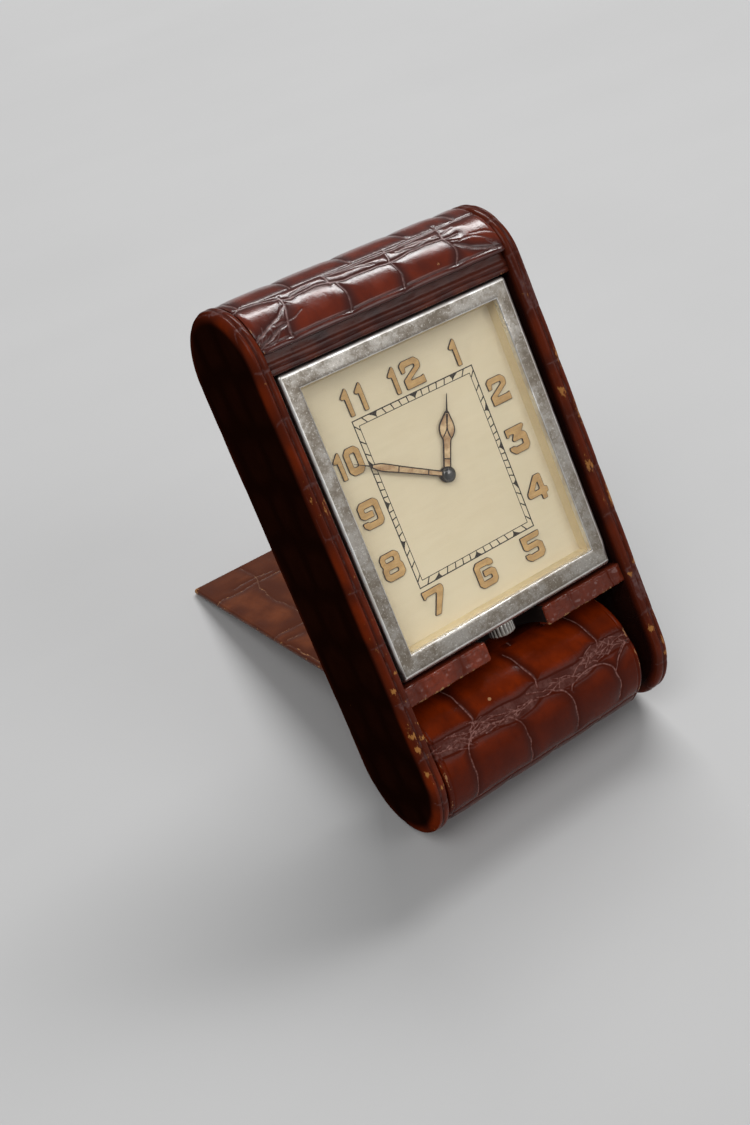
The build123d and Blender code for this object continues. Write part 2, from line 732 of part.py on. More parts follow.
# ---------------------------------------------------------------- motion work and hands
with BuildPart() as cannon:
    gear(8, motion_module, cannon_phase, 6.65, 7.15, centre_at, True)
    disc(0.95, 6.65, 9.9, centre_at)
    disc(arbor_r["centre"] + run_gap, 6.65, 9.9, centre_at, Mode.SUBTRACT)
save(cannon, "cannon_pinion")

with BuildPart() as minute_wheel:
    gear(24, motion_module, minute_wheel_phase, 6.65, 7.05, minute_wheel_at)
    gear(8, hour_module, 0.0, 7.05, 7.75, minute_wheel_at, True)
    disc(0.4 + run_gap, 6.65, 7.75, minute_wheel_at, Mode.SUBTRACT)
save(minute_wheel, "minute_wheel")

with BuildPart() as hour_wheel:
    gear(32, hour_module, hour_wheel_phase, 7.35, 7.75, centre_at)
    disc(1.5, 7.35, 9.2, centre_at)
    disc(0.95 + run_gap, 7.35, 9.2, centre_at, Mode.SUBTRACT)
save(hour_wheel, "hour_wheel")


def hand(stations, angle, low, high, bore):
    # hand outline from (distance, half width) stations, turned clockwise from twelve
    right = [(w, d) for d, w in stations]
    left = [(-w, d) for d, w in reversed(stations)]
    turned = Plane(origin=level(low).origin, x_dir=level(low).x_dir.rotate(Axis.Y, angle),
                   z_dir=(0, -1, 0))
    with BuildSketch(turned) as face:
        Polygon(*(right + left), align=None)
        bar(2.0)
        bar(bore, hole=True)
    extrude(face.sketch, amount=high - low)


with BuildPart() as hour_hand:
    hand([(0, 1.2), (3.0, 1.1), (5.0, 1.9), (8.0, 2.5), (11.0, 1.7), (13.2, 0.6), (14.0, 0.9),
          (15.0, 0.3), (17.6, 0.08)], 24.5, 8.95, 9.2, 1.5)
save(hour_hand, "hour_hand")

with BuildPart() as minute_hand:
    hand([(0, 1.0), (3.0, 0.8), (8.0, 1.2), (14.0, 1.3), (18.0, 0.8), (18.8, 0.35), (23.0, 0.08)],
         298.7, 9.6, 9.85, 0.95)
save(minute_hand, "minute_hand")

with BuildPart() as hand_cap:
    disc(1.5, 9.9, 10.45, centre_at)
    chamfer(hand_cap.faces().sort_by(Axis.Y)[0].edges(), 0.3)
save(hand_cap, "hand_cap")
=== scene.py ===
# %% [markdown]
# # A folding travel clock in a crocodile leather case
# The real object is a small flat case of two round-ended cheeks with a clock between them. Its cover
# is hinged at the foot of the cheeks: shut, it hides the dial; swung right round, it is the stand.
# The engineering model gives every solid its place, and this lesson gives each of them its surface.

import json

import bmesh
import bpy
import numpy as np
from mathutils import Matrix


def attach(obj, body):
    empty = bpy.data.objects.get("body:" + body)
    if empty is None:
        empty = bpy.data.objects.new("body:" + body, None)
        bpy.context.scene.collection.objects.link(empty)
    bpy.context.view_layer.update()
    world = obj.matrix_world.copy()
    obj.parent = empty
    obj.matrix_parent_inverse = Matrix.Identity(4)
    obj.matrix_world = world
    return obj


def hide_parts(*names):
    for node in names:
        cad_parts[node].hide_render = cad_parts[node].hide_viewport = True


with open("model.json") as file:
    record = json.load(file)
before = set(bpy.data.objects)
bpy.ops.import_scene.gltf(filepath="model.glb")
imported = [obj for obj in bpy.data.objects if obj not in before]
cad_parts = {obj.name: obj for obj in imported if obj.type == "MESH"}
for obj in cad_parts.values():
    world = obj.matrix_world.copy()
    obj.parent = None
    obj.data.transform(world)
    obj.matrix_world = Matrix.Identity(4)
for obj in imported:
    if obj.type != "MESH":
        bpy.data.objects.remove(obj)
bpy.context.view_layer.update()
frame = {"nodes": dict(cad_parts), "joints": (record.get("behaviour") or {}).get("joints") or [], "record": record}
joints = {joint["name"]: joint for joint in frame["joints"]}

# %% [markdown]
# ## A ruler that leans with the clock
# The clock leans back on its cover, but a maker measures it upright: to the right, up the case, and
# out of the dial, from the hinge. One function turns those three numbers into places in the room.
# The lean is read from the model's joints rather than typed, so the two can't disagree.

# %% Upright measures to places in the room
hinge = np.array(joints["cover_hinge"]["pos_m"])
to_right = np.array([1.0, 0.0, 0.0])
out_of_dial = np.array(joints["minute_hand_turn"]["axis"])
up_case = np.cross(out_of_dial, to_right)


def place(right, up, out):
    """Places in metres: the hinge, plus each millimetre measure times its own direction."""
    right, up, out = (np.asarray(v, float)[..., None] for v in np.broadcast_arrays(right, up, out))
    return hinge + 0.001 * (right * to_right + up * up_case + out * out_of_dial)


print("the case leans back by", round(float(np.degrees(np.arccos(up_case[2]))), 2), "degrees")

# %% [markdown]
# ## Sizes shared with the engineering model
# All in millimetres from the hinge. The cheeks are two round ends joined by straights; the cap runs
# over their top; the roll turns on the hinge and the flap leaves it at a tangent.

# %% Sizes
side_radius, arc_spacing = 15.3, 92.5
cheek_outer, cheek_seam, cheek_inner = 35.0, 33.2, 31.4
leather = 0.8
cap_radius, cap_hollow, lip_up, lip_back, turned_in = 15.1, 14.3, 94.95, 13.0, -12.7
roll_radius, flap_under, flap_reach = 14.8, 13.2, 94.7
cover_left, cover_right, soft_edge = -31.05, 26.4, 0.8
tilt = np.radians(16.7)
back_edge = (roll_radius + cap_radius * np.sin(tilt)) / np.cos(tilt) + 0.15
dial_up, dial_out = 56.0, 8.46
bezel_half_wide, bezel_half_high = 30.0, 34.2
stem_out = 6.2
closed_size = 2 * cheek_outer, arc_spacing + 2 * side_radius, 2 * side_radius
print("closed, the case measures", closed_size, "mm")

# %% [markdown]
# ## Skins made of rings
# Nearly every piece here is a stack of closed rings: slices of the cap from left to right, or ever
# smaller outlines of a cheek. Numpy works out all the points at once, quads join neighbouring rings,
# and one flat face closes each end, so that every piece is a sealed solid facing outwards.

# %% Rings to a mesh
def ring_mesh(name, rings, marks=None, sharp=None):
    """Quads join ring i to ring i + 1, point by point, and each end ring is filled with one face.
    The signed volume (the sum of a . (b x c) / 6 over its triangles) says if it is inside out."""
    count, size = rings.shape[:2]
    i, j = np.arange(count - 1)[:, None], np.arange(size)[None, :]
    after = (j + 1) % size
    corners = (i * size + j, (i + 1) * size + j, (i + 1) * size + after, i * size + after)
    quads = np.stack(np.broadcast_arrays(*corners), -1).reshape(-1, 4)
    ends = [np.arange(size), (count - 1) * size + np.arange(size)[::-1]]
    points = rings.reshape(-1, 3) - rings.reshape(-1, 3).mean(0)
    fans = [np.stack([e[:-2] * 0 + e[0], e[1:-1], e[2:]], -1) for e in ends]
    triangles = np.concatenate([quads[:, [0, 1, 2]], quads[:, [0, 2, 3]]] + fans)
    a, b, c = (points[triangles[:, k]] for k in range(3))
    volume = np.einsum("ij,ij->", a, np.cross(b, c)) / 6
    loops = np.concatenate([quads.ravel()] + ends)
    starts = np.concatenate([4 * np.arange(len(quads)), 4 * len(quads) + np.array([0, size])])
    if volume < 0:
        loops = np.concatenate([quads[:, ::-1].ravel()] + [e[::-1] for e in ends])
    mesh = bpy.data.meshes.new(name)
    mesh.vertices.add(len(points))
    mesh.vertices.foreach_set("co", rings.astype(np.float32).ravel())
    mesh.loops.add(len(loops))
    mesh.loops.foreach_set("vertex_index", loops.astype(np.int32))
    mesh.polygons.add(len(starts))
    mesh.polygons.foreach_set("loop_start", starts.astype(np.int32))
    mesh.update(calc_edges=True)
    for mark, values in (marks or {}).items():
        layer = mesh.attributes.new(mark, "FLOAT", "POINT")
        layer.data.foreach_set("value", np.asarray(values, np.float32).ravel())
    mesh.polygons.foreach_set("use_smooth", np.ones(len(starts), bool))
    if sharp:
        mesh.set_sharp_from_angle(angle=np.radians(sharp))
    return mesh


def add_piece(mesh, material, body, *stands_for, finish=None, second=None):
    """Puts a mesh in the room, gives it its material and the body it moves with. A second material
    goes on the faces whose material number is 1."""
    piece = bpy.data.objects.new(mesh.name, mesh)
    bpy.context.scene.collection.objects.link(piece)
    mesh.materials.clear()
    mesh.materials.append(material)
    if second:
        mesh.materials.append(second)
    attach(piece, body)
    if stands_for:
        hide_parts(*stands_for)
    print(f"{mesh.name}: {len(mesh.polygons)} faces on {body}")
    return piece


# %% [markdown]
# ## Soft random fields
# Leather is never even. A value field is random numbers on a coarse lattice, blended smoothly in
# between; its seed makes it the same on every run. It bends crease lines, spreads wear, and lifts or
# sinks whole scales a little.

# %% Value field
lattice_wide, lattice_high = 97, 101


def value_field(a, b, size, seed):
    """Smooth random heights from 0 to 1: each point blends its four lattice corners with the
    weights t * t * (3 - 2t), where t is how far it is across its lattice cell."""
    lattice = np.random.default_rng(seed).random((lattice_wide, lattice_high))
    x, y = np.asarray(a) / size + 40.0, np.asarray(b) / size + 40.0
    i, j = np.floor(x).astype(int), np.floor(y).astype(int)
    u, v = x - i, y - j
    u, v = u * u * (3 - 2 * u), v * v * (3 - 2 * v)
    left, right = i % lattice_wide, (i + 1) % lattice_wide
    near, far = j % lattice_high, (j + 1) % lattice_high
    low = lattice[left, near] * (1 - u) + lattice[right, near] * u
    high = lattice[left, far] * (1 - u) + lattice[right, far] * u
    return low * (1 - v) + high * v


def ease(value, low, high):
    """0 below low, 1 above high, and the smooth curve t * t * (3 - 2t) between them."""
    t = np.clip((np.asarray(value, float) - low) / (high - low), 0, 1)
    return t * t * (3 - 2 * t)


def bell(distance, width):
    """1 on a line and fading to both sides of it, as exp(-(distance / width) squared)."""
    return np.exp(-((distance / width) ** 2))


sample = value_field(np.arange(40.0), np.zeros(40), 5.0, 1)
print("along 40 mm a field runs from", round(sample.min(), 2), "to", round(sample.max(), 2))


# %% [markdown]
# ## Scales and the creases between them
# Crocodile hide is big smooth scales with sharp folds where they meet. The folds that show on the
# front are listed as lines on the unrolled leather, because their exact places make the piece
# recognisable; elsewhere a seeded lattice of cells grows them. What matters at each point is how far
# the nearest fold is: near it the leather dives, further off it swells into a cushion.

# %% Distance to the folds
def soften(line, rounds=2):
    """Cuts the corners of a line: each leg is replaced by its points at 1/4 and 3/4."""
    points = np.asarray(line, float)
    for _ in range(rounds):
        quarter = points[:-1] * 0.75 + points[1:] * 0.25
        three = points[:-1] * 0.25 + points[1:] * 0.75
        middle = np.stack([quarter, three], 1).reshape(-1, 2)
        points = np.concatenate([points[:1], middle, points[-1:]])
    return points


def fold_distance(a, b, lines):
    """The shortest distance from every point of the leather to any leg of the given lines."""
    nearest = np.full(np.shape(a), 99.0)
    for line in lines:
        points = soften(line)
        for start, end in zip(points[:-1], points[1:]):
            leg = end - start
            along = ((a - start[0]) * leg[0] + (b - start[1]) * leg[1]) / max(leg @ leg, 1e-9)
            along = np.clip(along, 0, 1)
            gap = np.hypot(a - start[0] - along * leg[0], b - start[1] - along * leg[1])
            np.minimum(nearest, gap, out=nearest)
    return nearest


def strokes(path, count, length, spread, lean, seed):
    """Short bowed lines scattered along a path, each leaning one way or the other from it, as old
    leather wrinkles where it has been flexed many times."""
    random = np.random.default_rng(seed)
    points = soften(path)
    steps = np.concatenate([[0], np.cumsum(np.hypot(*np.diff(points, axis=0).T))])
    lines = []
    for _ in range(count):
        at = random.uniform(0, steps[-1])
        half = 0.5 * length * random.uniform(0.4, 1.0)
        near = [np.interp(at, steps, points[:, k]) for k in range(2)]
        ahead = [np.interp(at + 0.5, steps, points[:, k]) for k in range(2)]
        turn = np.arctan2(ahead[1] - near[1], ahead[0] - near[0])
        turn = turn + random.choice((-1, 1)) * random.uniform(0.1, lean)
        aim = np.array([np.cos(turn), np.sin(turn)])
        side = np.array([-np.sin(turn), np.cos(turn)])
        centre = np.array(near) + random.normal(0, spread) * side
        bow = random.uniform(-0.3, 0.3) * half * side
        lines.append([centre - half * aim, centre + bow, centre + half * aim])
    return lines


def cell_distance(a, b, width, height, seed, wander=0.28):
    """Distance to the wall between jittered cells, as half the difference between the second
    nearest and the nearest centre. The distances add fourth powers, which makes cells squarish.
    Only the nine cells round each point can hold its two nearest centres."""
    shape = (lattice_wide, lattice_high, 2)
    shifts = np.random.default_rng(seed).uniform(-wander, wander, shape)
    x, y = a / width, b / height
    first, second = np.full(np.shape(a), 99.0), np.full(np.shape(a), 99.0)
    for row in (np.rint(y) + down for down in (-1, 0, 1)):
        stagger = 0.5 * (row % 2)
        for column in (np.rint(x - stagger) + over for over in (-1, 0, 1)):
            shift = shifts[row.astype(int) % lattice_wide, column.astype(int) % lattice_high]
            gap = (x - column - stagger - shift[..., 0]) ** 2
            gap = np.sqrt(np.hypot(gap, (y - row - 0.4 * shift[..., 1]) ** 2))
            second = np.minimum(second, np.maximum(first, gap))
            first = np.minimum(first, gap)
    return 0.5 * (second - first) * min(width, height)


cushion_height, cushion_width, crease_width = 0.34, 1.7, 0.26


def hide_marks(distance, fine=None):
    """Turns fold distances into a height in millimetres and the two marks the material reads:
    crease, sharp and close to the fold, and heart, which grows towards the middle of a scale."""
    crease = bell(distance, crease_width)
    cushion = 1 - np.exp(-distance / cushion_width)
    height = cushion_height * cushion - 0.10 * crease
    heart = ease(distance, 0.25, 2.8)
    if fine is not None:
        crease = np.maximum(crease, fine)
        height = height - 0.08 * fine
    return height, crease, heart


depth = cushion_height - hide_marks(np.array([0.0]))[0][0]
print("a fold lies", round(depth, 2), "mm below the middle of its scales")


# %% [markdown]
# ## Shader groups
# Three effects are shared by many materials, so each is a node group built once: polished scale
# leather, worn metal, and the plain mottling of board and lining. A group only works out colours,
# roughness and heights; the shader itself stays in each material.

# %% Node helpers
def plug(tree, socket, value):
    """Links a socket, or types a value or colour into it."""
    if isinstance(value, bpy.types.NodeSocket):
        tree.links.new(value, socket)
    elif isinstance(value, (tuple, list)) and len(value) == 3 and socket.type == "RGBA":
        socket.default_value = (*value, 1)
    else:
        socket.default_value = value


def mix(tree, share, first, second):
    """A colour between two colours."""
    node = tree.nodes.new("ShaderNodeMix")
    node.data_type = "RGBA"
    for index, value in ((0, share), (6, first), (7, second)):
        plug(tree, node.inputs[index], value)
    return node.outputs[2]


def maths(tree, operation, *numbers):
    """One step of arithmetic: MULTIPLY_ADD is the first times the second, plus the third."""
    node = tree.nodes.new("ShaderNodeMath")
    node.operation = operation
    for socket, number in zip(node.inputs, numbers):
        plug(tree, socket, number)
    return node.outputs[0]


def span(tree, value, low, high, to_low=0.0, to_high=1.0):
    """A value stretched smoothly from one range to another."""
    node = tree.nodes.new("ShaderNodeMapRange")
    node.interpolation_type = "SMOOTHSTEP"
    for index, number in enumerate((value, low, high, to_low, to_high)):
        plug(tree, node.inputs[index], number)
    return node.outputs[0]


def speckle(tree, position, scale, detail=3.0, rough=0.55):
    """Noise from 0 to 1; scale counts its features in a metre."""
    node = tree.nodes.new("ShaderNodeTexNoise")
    plug(tree, node.inputs["Vector"], position)
    plug(tree, node.inputs["Scale"], scale)
    plug(tree, node.inputs["Detail"], detail)
    plug(tree, node.inputs["Roughness"], rough)
    return node.outputs["Fac"]


def stretched(tree, position, scales):
    """The same position with its three directions stretched, for brushed or drawn marks."""
    node = tree.nodes.new("ShaderNodeVectorMath")
    node.operation = "MULTIPLY"
    plug(tree, node.inputs[0], position)
    node.inputs[1].default_value = scales
    return node.outputs[0]


def group(name, inputs, outputs):
    """An empty node group with named sockets, and its input and output nodes."""
    tree = bpy.data.node_groups.new(name, "ShaderNodeTree")
    kinds = {"v": "NodeSocketVector", "c": "NodeSocketColor", "f": "NodeSocketFloat"}
    for title, kind in inputs.items():
        tree.interface.new_socket(title, in_out="INPUT", socket_type=kinds[kind])
    for title, kind in outputs.items():
        tree.interface.new_socket(title, in_out="OUTPUT", socket_type=kinds[kind])
    return tree, tree.nodes.new("NodeGroupInput").outputs, tree.nodes.new("NodeGroupOutput").inputs


# %% [markdown]
# ### Polished scale leather
# The dye pools dark round the folds and wears to a glowing red-brown on the middle of each scale.
# Old polish turns pale in the folds, and rubbed places show tan hide. The grain is fine pores and
# soft dimples, far too small to model, so they are a height for a bump.

# %% Group: scale leather
leather_group, given, result = group(
    "scale leather",
    {"Position": "v", "Crease": "f", "Heart": "f", "Worn": "f", "Heart Colour": "c",
     "Rim Colour": "c", "Fold Colour": "c", "Hide Colour": "c"},
    {"Color": "c", "Roughness": "f", "Height": "f"})
at = given["Position"]
cloud = speckle(leather_group, at, 160.0, 4.0)
streak = speckle(leather_group, stretched(leather_group, at, (1.0, 0.45, 0.45)), 900.0, 3.0)
pores = speckle(leather_group, at, 3600.0, 2.0)
patchy = span(leather_group, cloud, 0.25, 0.75, 0.35, 1.0)
glow = maths(leather_group, "MULTIPLY", given["Heart"], patchy)
tone = mix(leather_group, glow, given["Rim Colour"], given["Heart Colour"])
streaky = span(leather_group, streak, 0.45, 0.8, 0.0, 0.35)
tone = mix(leather_group, streaky, tone, given["Rim Colour"])
broken = span(leather_group, speckle(leather_group, at, 1300.0, 3.0), 0.36, 0.62, 0.25, 1.0)
pale = maths(leather_group, "MULTIPLY", span(leather_group, given["Crease"], 0.45, 0.95), broken)
shade = maths(leather_group, "MULTIPLY", span(leather_group, given["Crease"], 0.05, 0.5), 0.45)
tone = mix(leather_group, shade, tone, given["Rim Colour"])
tone = mix(leather_group, pale, tone, given["Fold Colour"])
chip = speckle(leather_group, stretched(leather_group, at, (1.0, 0.4, 0.4)), 1900.0, 5.0, 0.7)
worn = maths(leather_group, "MULTIPLY_ADD", given["Worn"], 0.5, chip)
bare = span(leather_group, worn, 0.74, 0.80)
tone = mix(leather_group, bare, tone, given["Hide Colour"])
plug(leather_group, result["Color"], tone)
sheen = span(leather_group, cloud, 0.3, 0.7, 0.13, 0.24)
matt = maths(leather_group, "MULTIPLY_ADD", given["Crease"], 0.18, sheen)
plug(leather_group, result["Roughness"], maths(leather_group, "MULTIPLY_ADD", bare, 0.35, matt))
fine = maths(leather_group, "MULTIPLY", pores, 0.4)
dimples = maths(leather_group, "MULTIPLY_ADD", streak, 0.6, fine)
sunk = maths(leather_group, "MULTIPLY", given["Crease"], 0.8)
plug(leather_group, result["Height"], maths(leather_group, "SUBTRACT", dimples, sunk))
print("scale leather group has", len(leather_group.nodes), "nodes")

# %% [markdown]
# ### Worn metal
# Plated or plain, old metal has a faint grain, cloudy tarnish, and pits where damp got under it.

# %% Group: worn metal
metal_group, given, result = group(
    "worn metal",
    {"Position": "v", "Clean Colour": "c", "Dull Colour": "c", "Pits": "f", "Grain Scale": "f"},
    {"Color": "c", "Roughness": "f", "Height": "f"})
at = given["Position"]
tarnish = speckle(metal_group, at, 130.0, 10.0, 0.80)
drawn = stretched(metal_group, at, (1.0, 0.12, 0.12))
grain = speckle(metal_group, drawn, given["Grain Scale"], 2.0)
dark_spots = span(metal_group, speckle(metal_group, at, 1700.0, 3.0, 0.6), 0.62, 0.68)
pitted = maths(metal_group, "MULTIPLY", dark_spots, given["Pits"])
cloudy = span(metal_group, tarnish, 0.40, 0.60)
tone = mix(metal_group, cloudy, given["Clean Colour"], given["Dull Colour"])
pale_spots = span(metal_group, speckle(metal_group, at, 2300.0, 2.0), 0.60, 0.66)
salt = maths(metal_group, "MULTIPLY", pale_spots, given["Pits"])
tone = mix(metal_group, salt, tone, (0.85, 0.82, 0.76))
tone = mix(metal_group, maths(metal_group, "MULTIPLY", pitted, 0.7), tone, (0.10, 0.08, 0.06))
plug(metal_group, result["Color"], tone)
matt = span(metal_group, tarnish, 0.3, 0.7, 0.16, 0.42)
plug(metal_group, result["Roughness"], maths(metal_group, "MULTIPLY_ADD", grain, 0.16, matt))
ridges = maths(metal_group, "MULTIPLY", grain, 0.25)
plug(metal_group, result["Height"], maths(metal_group, "SUBTRACT", ridges, pitted))
print("worn metal group has", len(metal_group.nodes), "nodes")

# %% [markdown]
# ### Mottled board, paint and lining
# One gentle group for everything plain: two tones clouded together, with fibres drawn out along the
# piece or not.

# %% Group: mottling
plain_group, given, result = group(
    "mottling",
    {"Position": "v", "Light Colour": "c", "Dark Colour": "c", "Cloud Scale": "f", "Fibre Scale": "f"},
    {"Color": "c", "Height": "f"})
at = given["Position"]
cloud = speckle(plain_group, at, given["Cloud Scale"], 4.0)
drawn = stretched(plain_group, at, (0.15, 1.0, 1.0))
fibre = speckle(plain_group, drawn, given["Fibre Scale"], 3.0)
both = maths(plain_group, "MULTIPLY_ADD", fibre, 0.45, maths(plain_group, "MULTIPLY", cloud, 0.55))
share = span(plain_group, both, 0.32, 0.68)
tone = mix(plain_group, share, given["Light Colour"], given["Dark Colour"])
plug(plain_group, result["Color"], tone)
plug(plain_group, result["Height"], both)
print("mottling group has", len(plain_group.nodes), "nodes")

# %% [markdown]
# ## Materials
# A material is one shader fed by one group. Numbers that are the same all over, such as how strongly
# a surface mirrors, are typed straight into the shader. Each leather has four colours: the heart of
# a scale, its rim, the fold, and the bare hide where it is worn through.

# %% Material builders
def start_material(name, effect):
    """A shader, the group that feeds it, the piece's own coordinates and a bump on its normal."""
    material = bpy.data.materials.new(name)
    material.use_nodes = True
    tree = material.node_tree
    shader = tree.nodes["Principled BSDF"]
    coordinates = tree.nodes.new("ShaderNodeTexCoord")
    mottle = tree.nodes.new("ShaderNodeGroup")
    mottle.node_tree = effect
    tree.links.new(coordinates.outputs["Object"], mottle.inputs["Position"])
    tree.links.new(mottle.outputs["Color"], shader.inputs["Base Color"])
    return material, tree, shader, mottle


def add_bump(tree, shader, height, millimetres):
    """The group's height raises the surface by so many millimetres."""
    bump = tree.nodes.new("ShaderNodeBump")
    bump.inputs["Distance"].default_value = millimetres / 1000
    tree.links.new(height, bump.inputs["Height"])
    tree.links.new(bump.outputs["Normal"], shader.inputs["Normal"])


def set_inputs(node, **values):
    """Types values into a node's sockets; an underscore stands for a space, and a colour gets its
    fourth number."""
    for title, value in values.items():
        socket = node.inputs[title.replace("_", " ")]
        socket.default_value = (*value, 1) if isinstance(value, tuple) else value


def mark(tree, name):
    """One of the numbers that a piece's mesh carries at every point."""
    node = tree.nodes.new("ShaderNodeAttribute")
    node.attribute_name = name
    return node.outputs["Fac"]


def leather_material(name, heart, rim, fold, hide, specular=0.5, bump=0.05):
    """Scale leather in the given four colours."""
    material, tree, shader, mottle = start_material(name, leather_group)
    for title in ("Crease", "Heart", "Worn"):
        tree.links.new(mark(tree, title.lower()), mottle.inputs[title])
    set_inputs(mottle, Heart_Colour=heart, Rim_Colour=rim, Fold_Colour=fold, Hide_Colour=hide)
    set_inputs(shader, Specular_IOR_Level=specular)
    tree.links.new(mottle.outputs["Roughness"], shader.inputs["Roughness"])
    add_bump(tree, shader, mottle.outputs["Height"], bump)
    return material


def metal_material(name, clean, dull, pits=0.0, grain=2500.0, bump=0.01):
    """Worn metal in two tones."""
    material, tree, shader, mottle = start_material(name, metal_group)
    set_inputs(mottle, Clean_Colour=clean, Dull_Colour=dull, Pits=pits, Grain_Scale=grain)
    set_inputs(shader, Metallic=1.0)
    tree.links.new(mottle.outputs["Roughness"], shader.inputs["Roughness"])
    add_bump(tree, shader, mottle.outputs["Height"], bump)
    return material


def plain_material(name, light, dark, rough, cloud=120.0, fibre=900.0, bump=0.01, specular=0.5):
    """Mottled paint, board or lining."""
    material, tree, shader, mottle = start_material(name, plain_group)
    set_inputs(mottle, Light_Colour=light, Dark_Colour=dark, Cloud_Scale=cloud, Fibre_Scale=fibre)
    set_inputs(shader, Roughness=rough, Specular_IOR_Level=specular)
    add_bump(tree, shader, mottle.outputs["Height"], bump)
    return material


# %% The clock's leathers
polished_hide = leather_material("polished crocodile leather", (0.165, 0.017, 0.002),
                                 (0.055, 0.010, 0.007), (0.20, 0.10, 0.09), (0.36, 0.15, 0.05))
roll_colours = [(0.215, 0.0215, 0.001), (0.066, 0.0075, 0.002), (0.28, 0.13, 0.11),
                (0.40, 0.20, 0.09)]
roll_hide = leather_material("roll leather", *roll_colours, specular=0.09)
edge_hide = leather_material("edge leather", (0.16, 0.020, 0.004), (0.045, 0.008, 0.005),
                             (0.10, 0.06, 0.06), (0.42, 0.18, 0.05), specular=0.3)
lip_hide = leather_material("lip leather", (0.12, 0.024, 0.011), (0.050, 0.012, 0.009),
                            (0.12, 0.060, 0.052), (0.36, 0.16, 0.07), specular=0.2)
strip_hide = leather_material("strip leather", (0.33, 0.050, 0.016), (0.12, 0.020, 0.009),
                              (0.46, 0.27, 0.21), (0.40, 0.20, 0.08), specular=0.30)
lining_cloth = plain_material("lining leather", (0.15, 0.055, 0.025), (0.09, 0.032, 0.016), 0.6,
                              cloud=150.0, fibre=2600.0, bump=0.02)
board = plain_material("covered board", (0.10, 0.05, 0.03), (0.05, 0.025, 0.016), 0.8,
                       cloud=200.0, fibre=1500.0, bump=0.03)
dark_board = plain_material("stained board", (0.016, 0.008, 0.006), (0.008, 0.004, 0.003), 0.75,
                            cloud=200.0, specular=0.2)

print(len(bpy.data.materials), "leathers and boards")

# %% The clock's metals and paints
old_nickel = metal_material("worn nickel plate", (0.42, 0.392, 0.355), (0.23, 0.195, 0.155),
                            pits=0.4, bump=0.02)
bright_nickel = metal_material("polished nickel edge", (0.90, 0.89, 0.87), (0.72, 0.68, 0.63),
                               bump=0.002)
crown_nickel = metal_material("crown plate", (0.60, 0.58, 0.55), (0.40, 0.37, 0.33))
brass = metal_material("brass", (0.80, 0.60, 0.27), (0.55, 0.38, 0.15))
steel = metal_material("steel", (0.56, 0.56, 0.57), (0.36, 0.35, 0.35))
dial_paint = plain_material("cream dial paint", (0.70, 0.60, 0.405), (0.67, 0.565, 0.37), 0.55,
                            cloud=60.0, bump=0.002)
# Darker and more olive than the dial: partly the wall's own cream tone, partly painted shade taken from its shaded
# right side.
wall_paint = plain_material("cream wall paint with painted shade", (0.62, 0.50, 0.29), (0.57, 0.45, 0.25), 0.5,
                            cloud=90.0, bump=0.002, specular=0.2)
lume = plain_material("tan luminous paint", (0.56, 0.345, 0.125), (0.40, 0.225, 0.070), 0.7,
                      cloud=500.0, fibre=1800.0, bump=0.03)
hand_lume = plain_material("stained luminous paint", (0.66, 0.48, 0.26), (0.30, 0.145, 0.05), 0.7,
                           cloud=700.0, fibre=500.0, bump=0.03)
bronze = plain_material("dark bronze", (0.034, 0.014, 0.004), (0.016, 0.007, 0.003), 0.5,
                        cloud=400.0, specular=0.15)
track_ink = plain_material("track ink", (0.018, 0.012, 0.008), (0.040, 0.028, 0.018), 0.6,
                           cloud=300.0, specular=0.1)
cap_black = plain_material("black hub", (0.100, 0.097, 0.094), (0.120, 0.115, 0.110), 0.08,
                           cloud=300.0, bump=0.0)
cap_black.node_tree.nodes["Principled BSDF"].inputs["Metallic"].default_value = 1.0
print(len(bpy.data.materials), "materials")

# %% [markdown]
# ### Glass
# The crystal is thin flat glass. Real glass lets light through to the dial, but a path tracer treats
# its shadow as solid, so light on its way to a lamp passes through a clear shader instead.

# %% The crystal's glass
glass, tree, shader, mottle = start_material("crystal glass", plain_group)
set_inputs(mottle, Light_Colour=(1.0, 1.0, 1.0), Dark_Colour=(0.985, 0.99, 0.985))
set_inputs(mottle, Cloud_Scale=80.0, Fibre_Scale=300.0)
shader.inputs["Roughness"].default_value = 0.0
shader.inputs["Transmission Weight"].default_value = 1.0
shader.inputs["IOR"].default_value = 1.45
clear = tree.nodes.new("ShaderNodeBsdfTransparent")
rays = tree.nodes.new("ShaderNodeLightPath")
choose = tree.nodes.new("ShaderNodeMixShader")
tree.links.new(rays.outputs["Is Shadow Ray"], choose.inputs[0])
tree.links.new(shader.outputs[0], choose.inputs[1])
tree.links.new(clear.outputs[0], choose.inputs[2])
tree.links.new(choose.outputs[0], tree.nodes["Material Output"].inputs["Surface"])
print("glass ready")

# %% [markdown]
# ## Finishes for the engineering solids that stay
# The movement's wheels and plates, the boards and the dial keep their solids: their shapes are right,
# so they only need a better surface, chosen by what the record says they are made of.

# %% Materials for the kept solids
by_class = {
    "wood": board, "brass": brass, "brushed_steel": steel, "fabric": lining_cloth,
    "leather": edge_hide, "chrome": old_nickel, "glass": glass, "painted_metal": bronze}
by_node = {
    "dial": dial_paint, "rehaut": wall_paint, "hand_cap": cap_black, "crystal": glass,
    "shelf_block": dark_board, "packing_frame": dark_board, "roll_core": dark_board,
    "hinge_collar": bronze, "hinge_bushes": bronze}
classes = {entry["slot"]: entry["class"] for entry in frame["record"]["materials"]}
for name, node in frame["nodes"].items():
    chosen = by_node.get(name, by_class[classes[name]])
    for slot in node.material_slots:
        slot.material = chosen
print("finished", len(frame["nodes"]), "engineering solids")

# %% [markdown]
# ## The cap
# A board roof over the top of the cheeks, covered with the best part of the hide: one row of five
# big scales faces you, with folds fanning out at both ends and a few fine wrinkles across them. Its
# skin is a slice shape (lip, round front, flat back) repeated from left to right, pushed in at the
# folds.

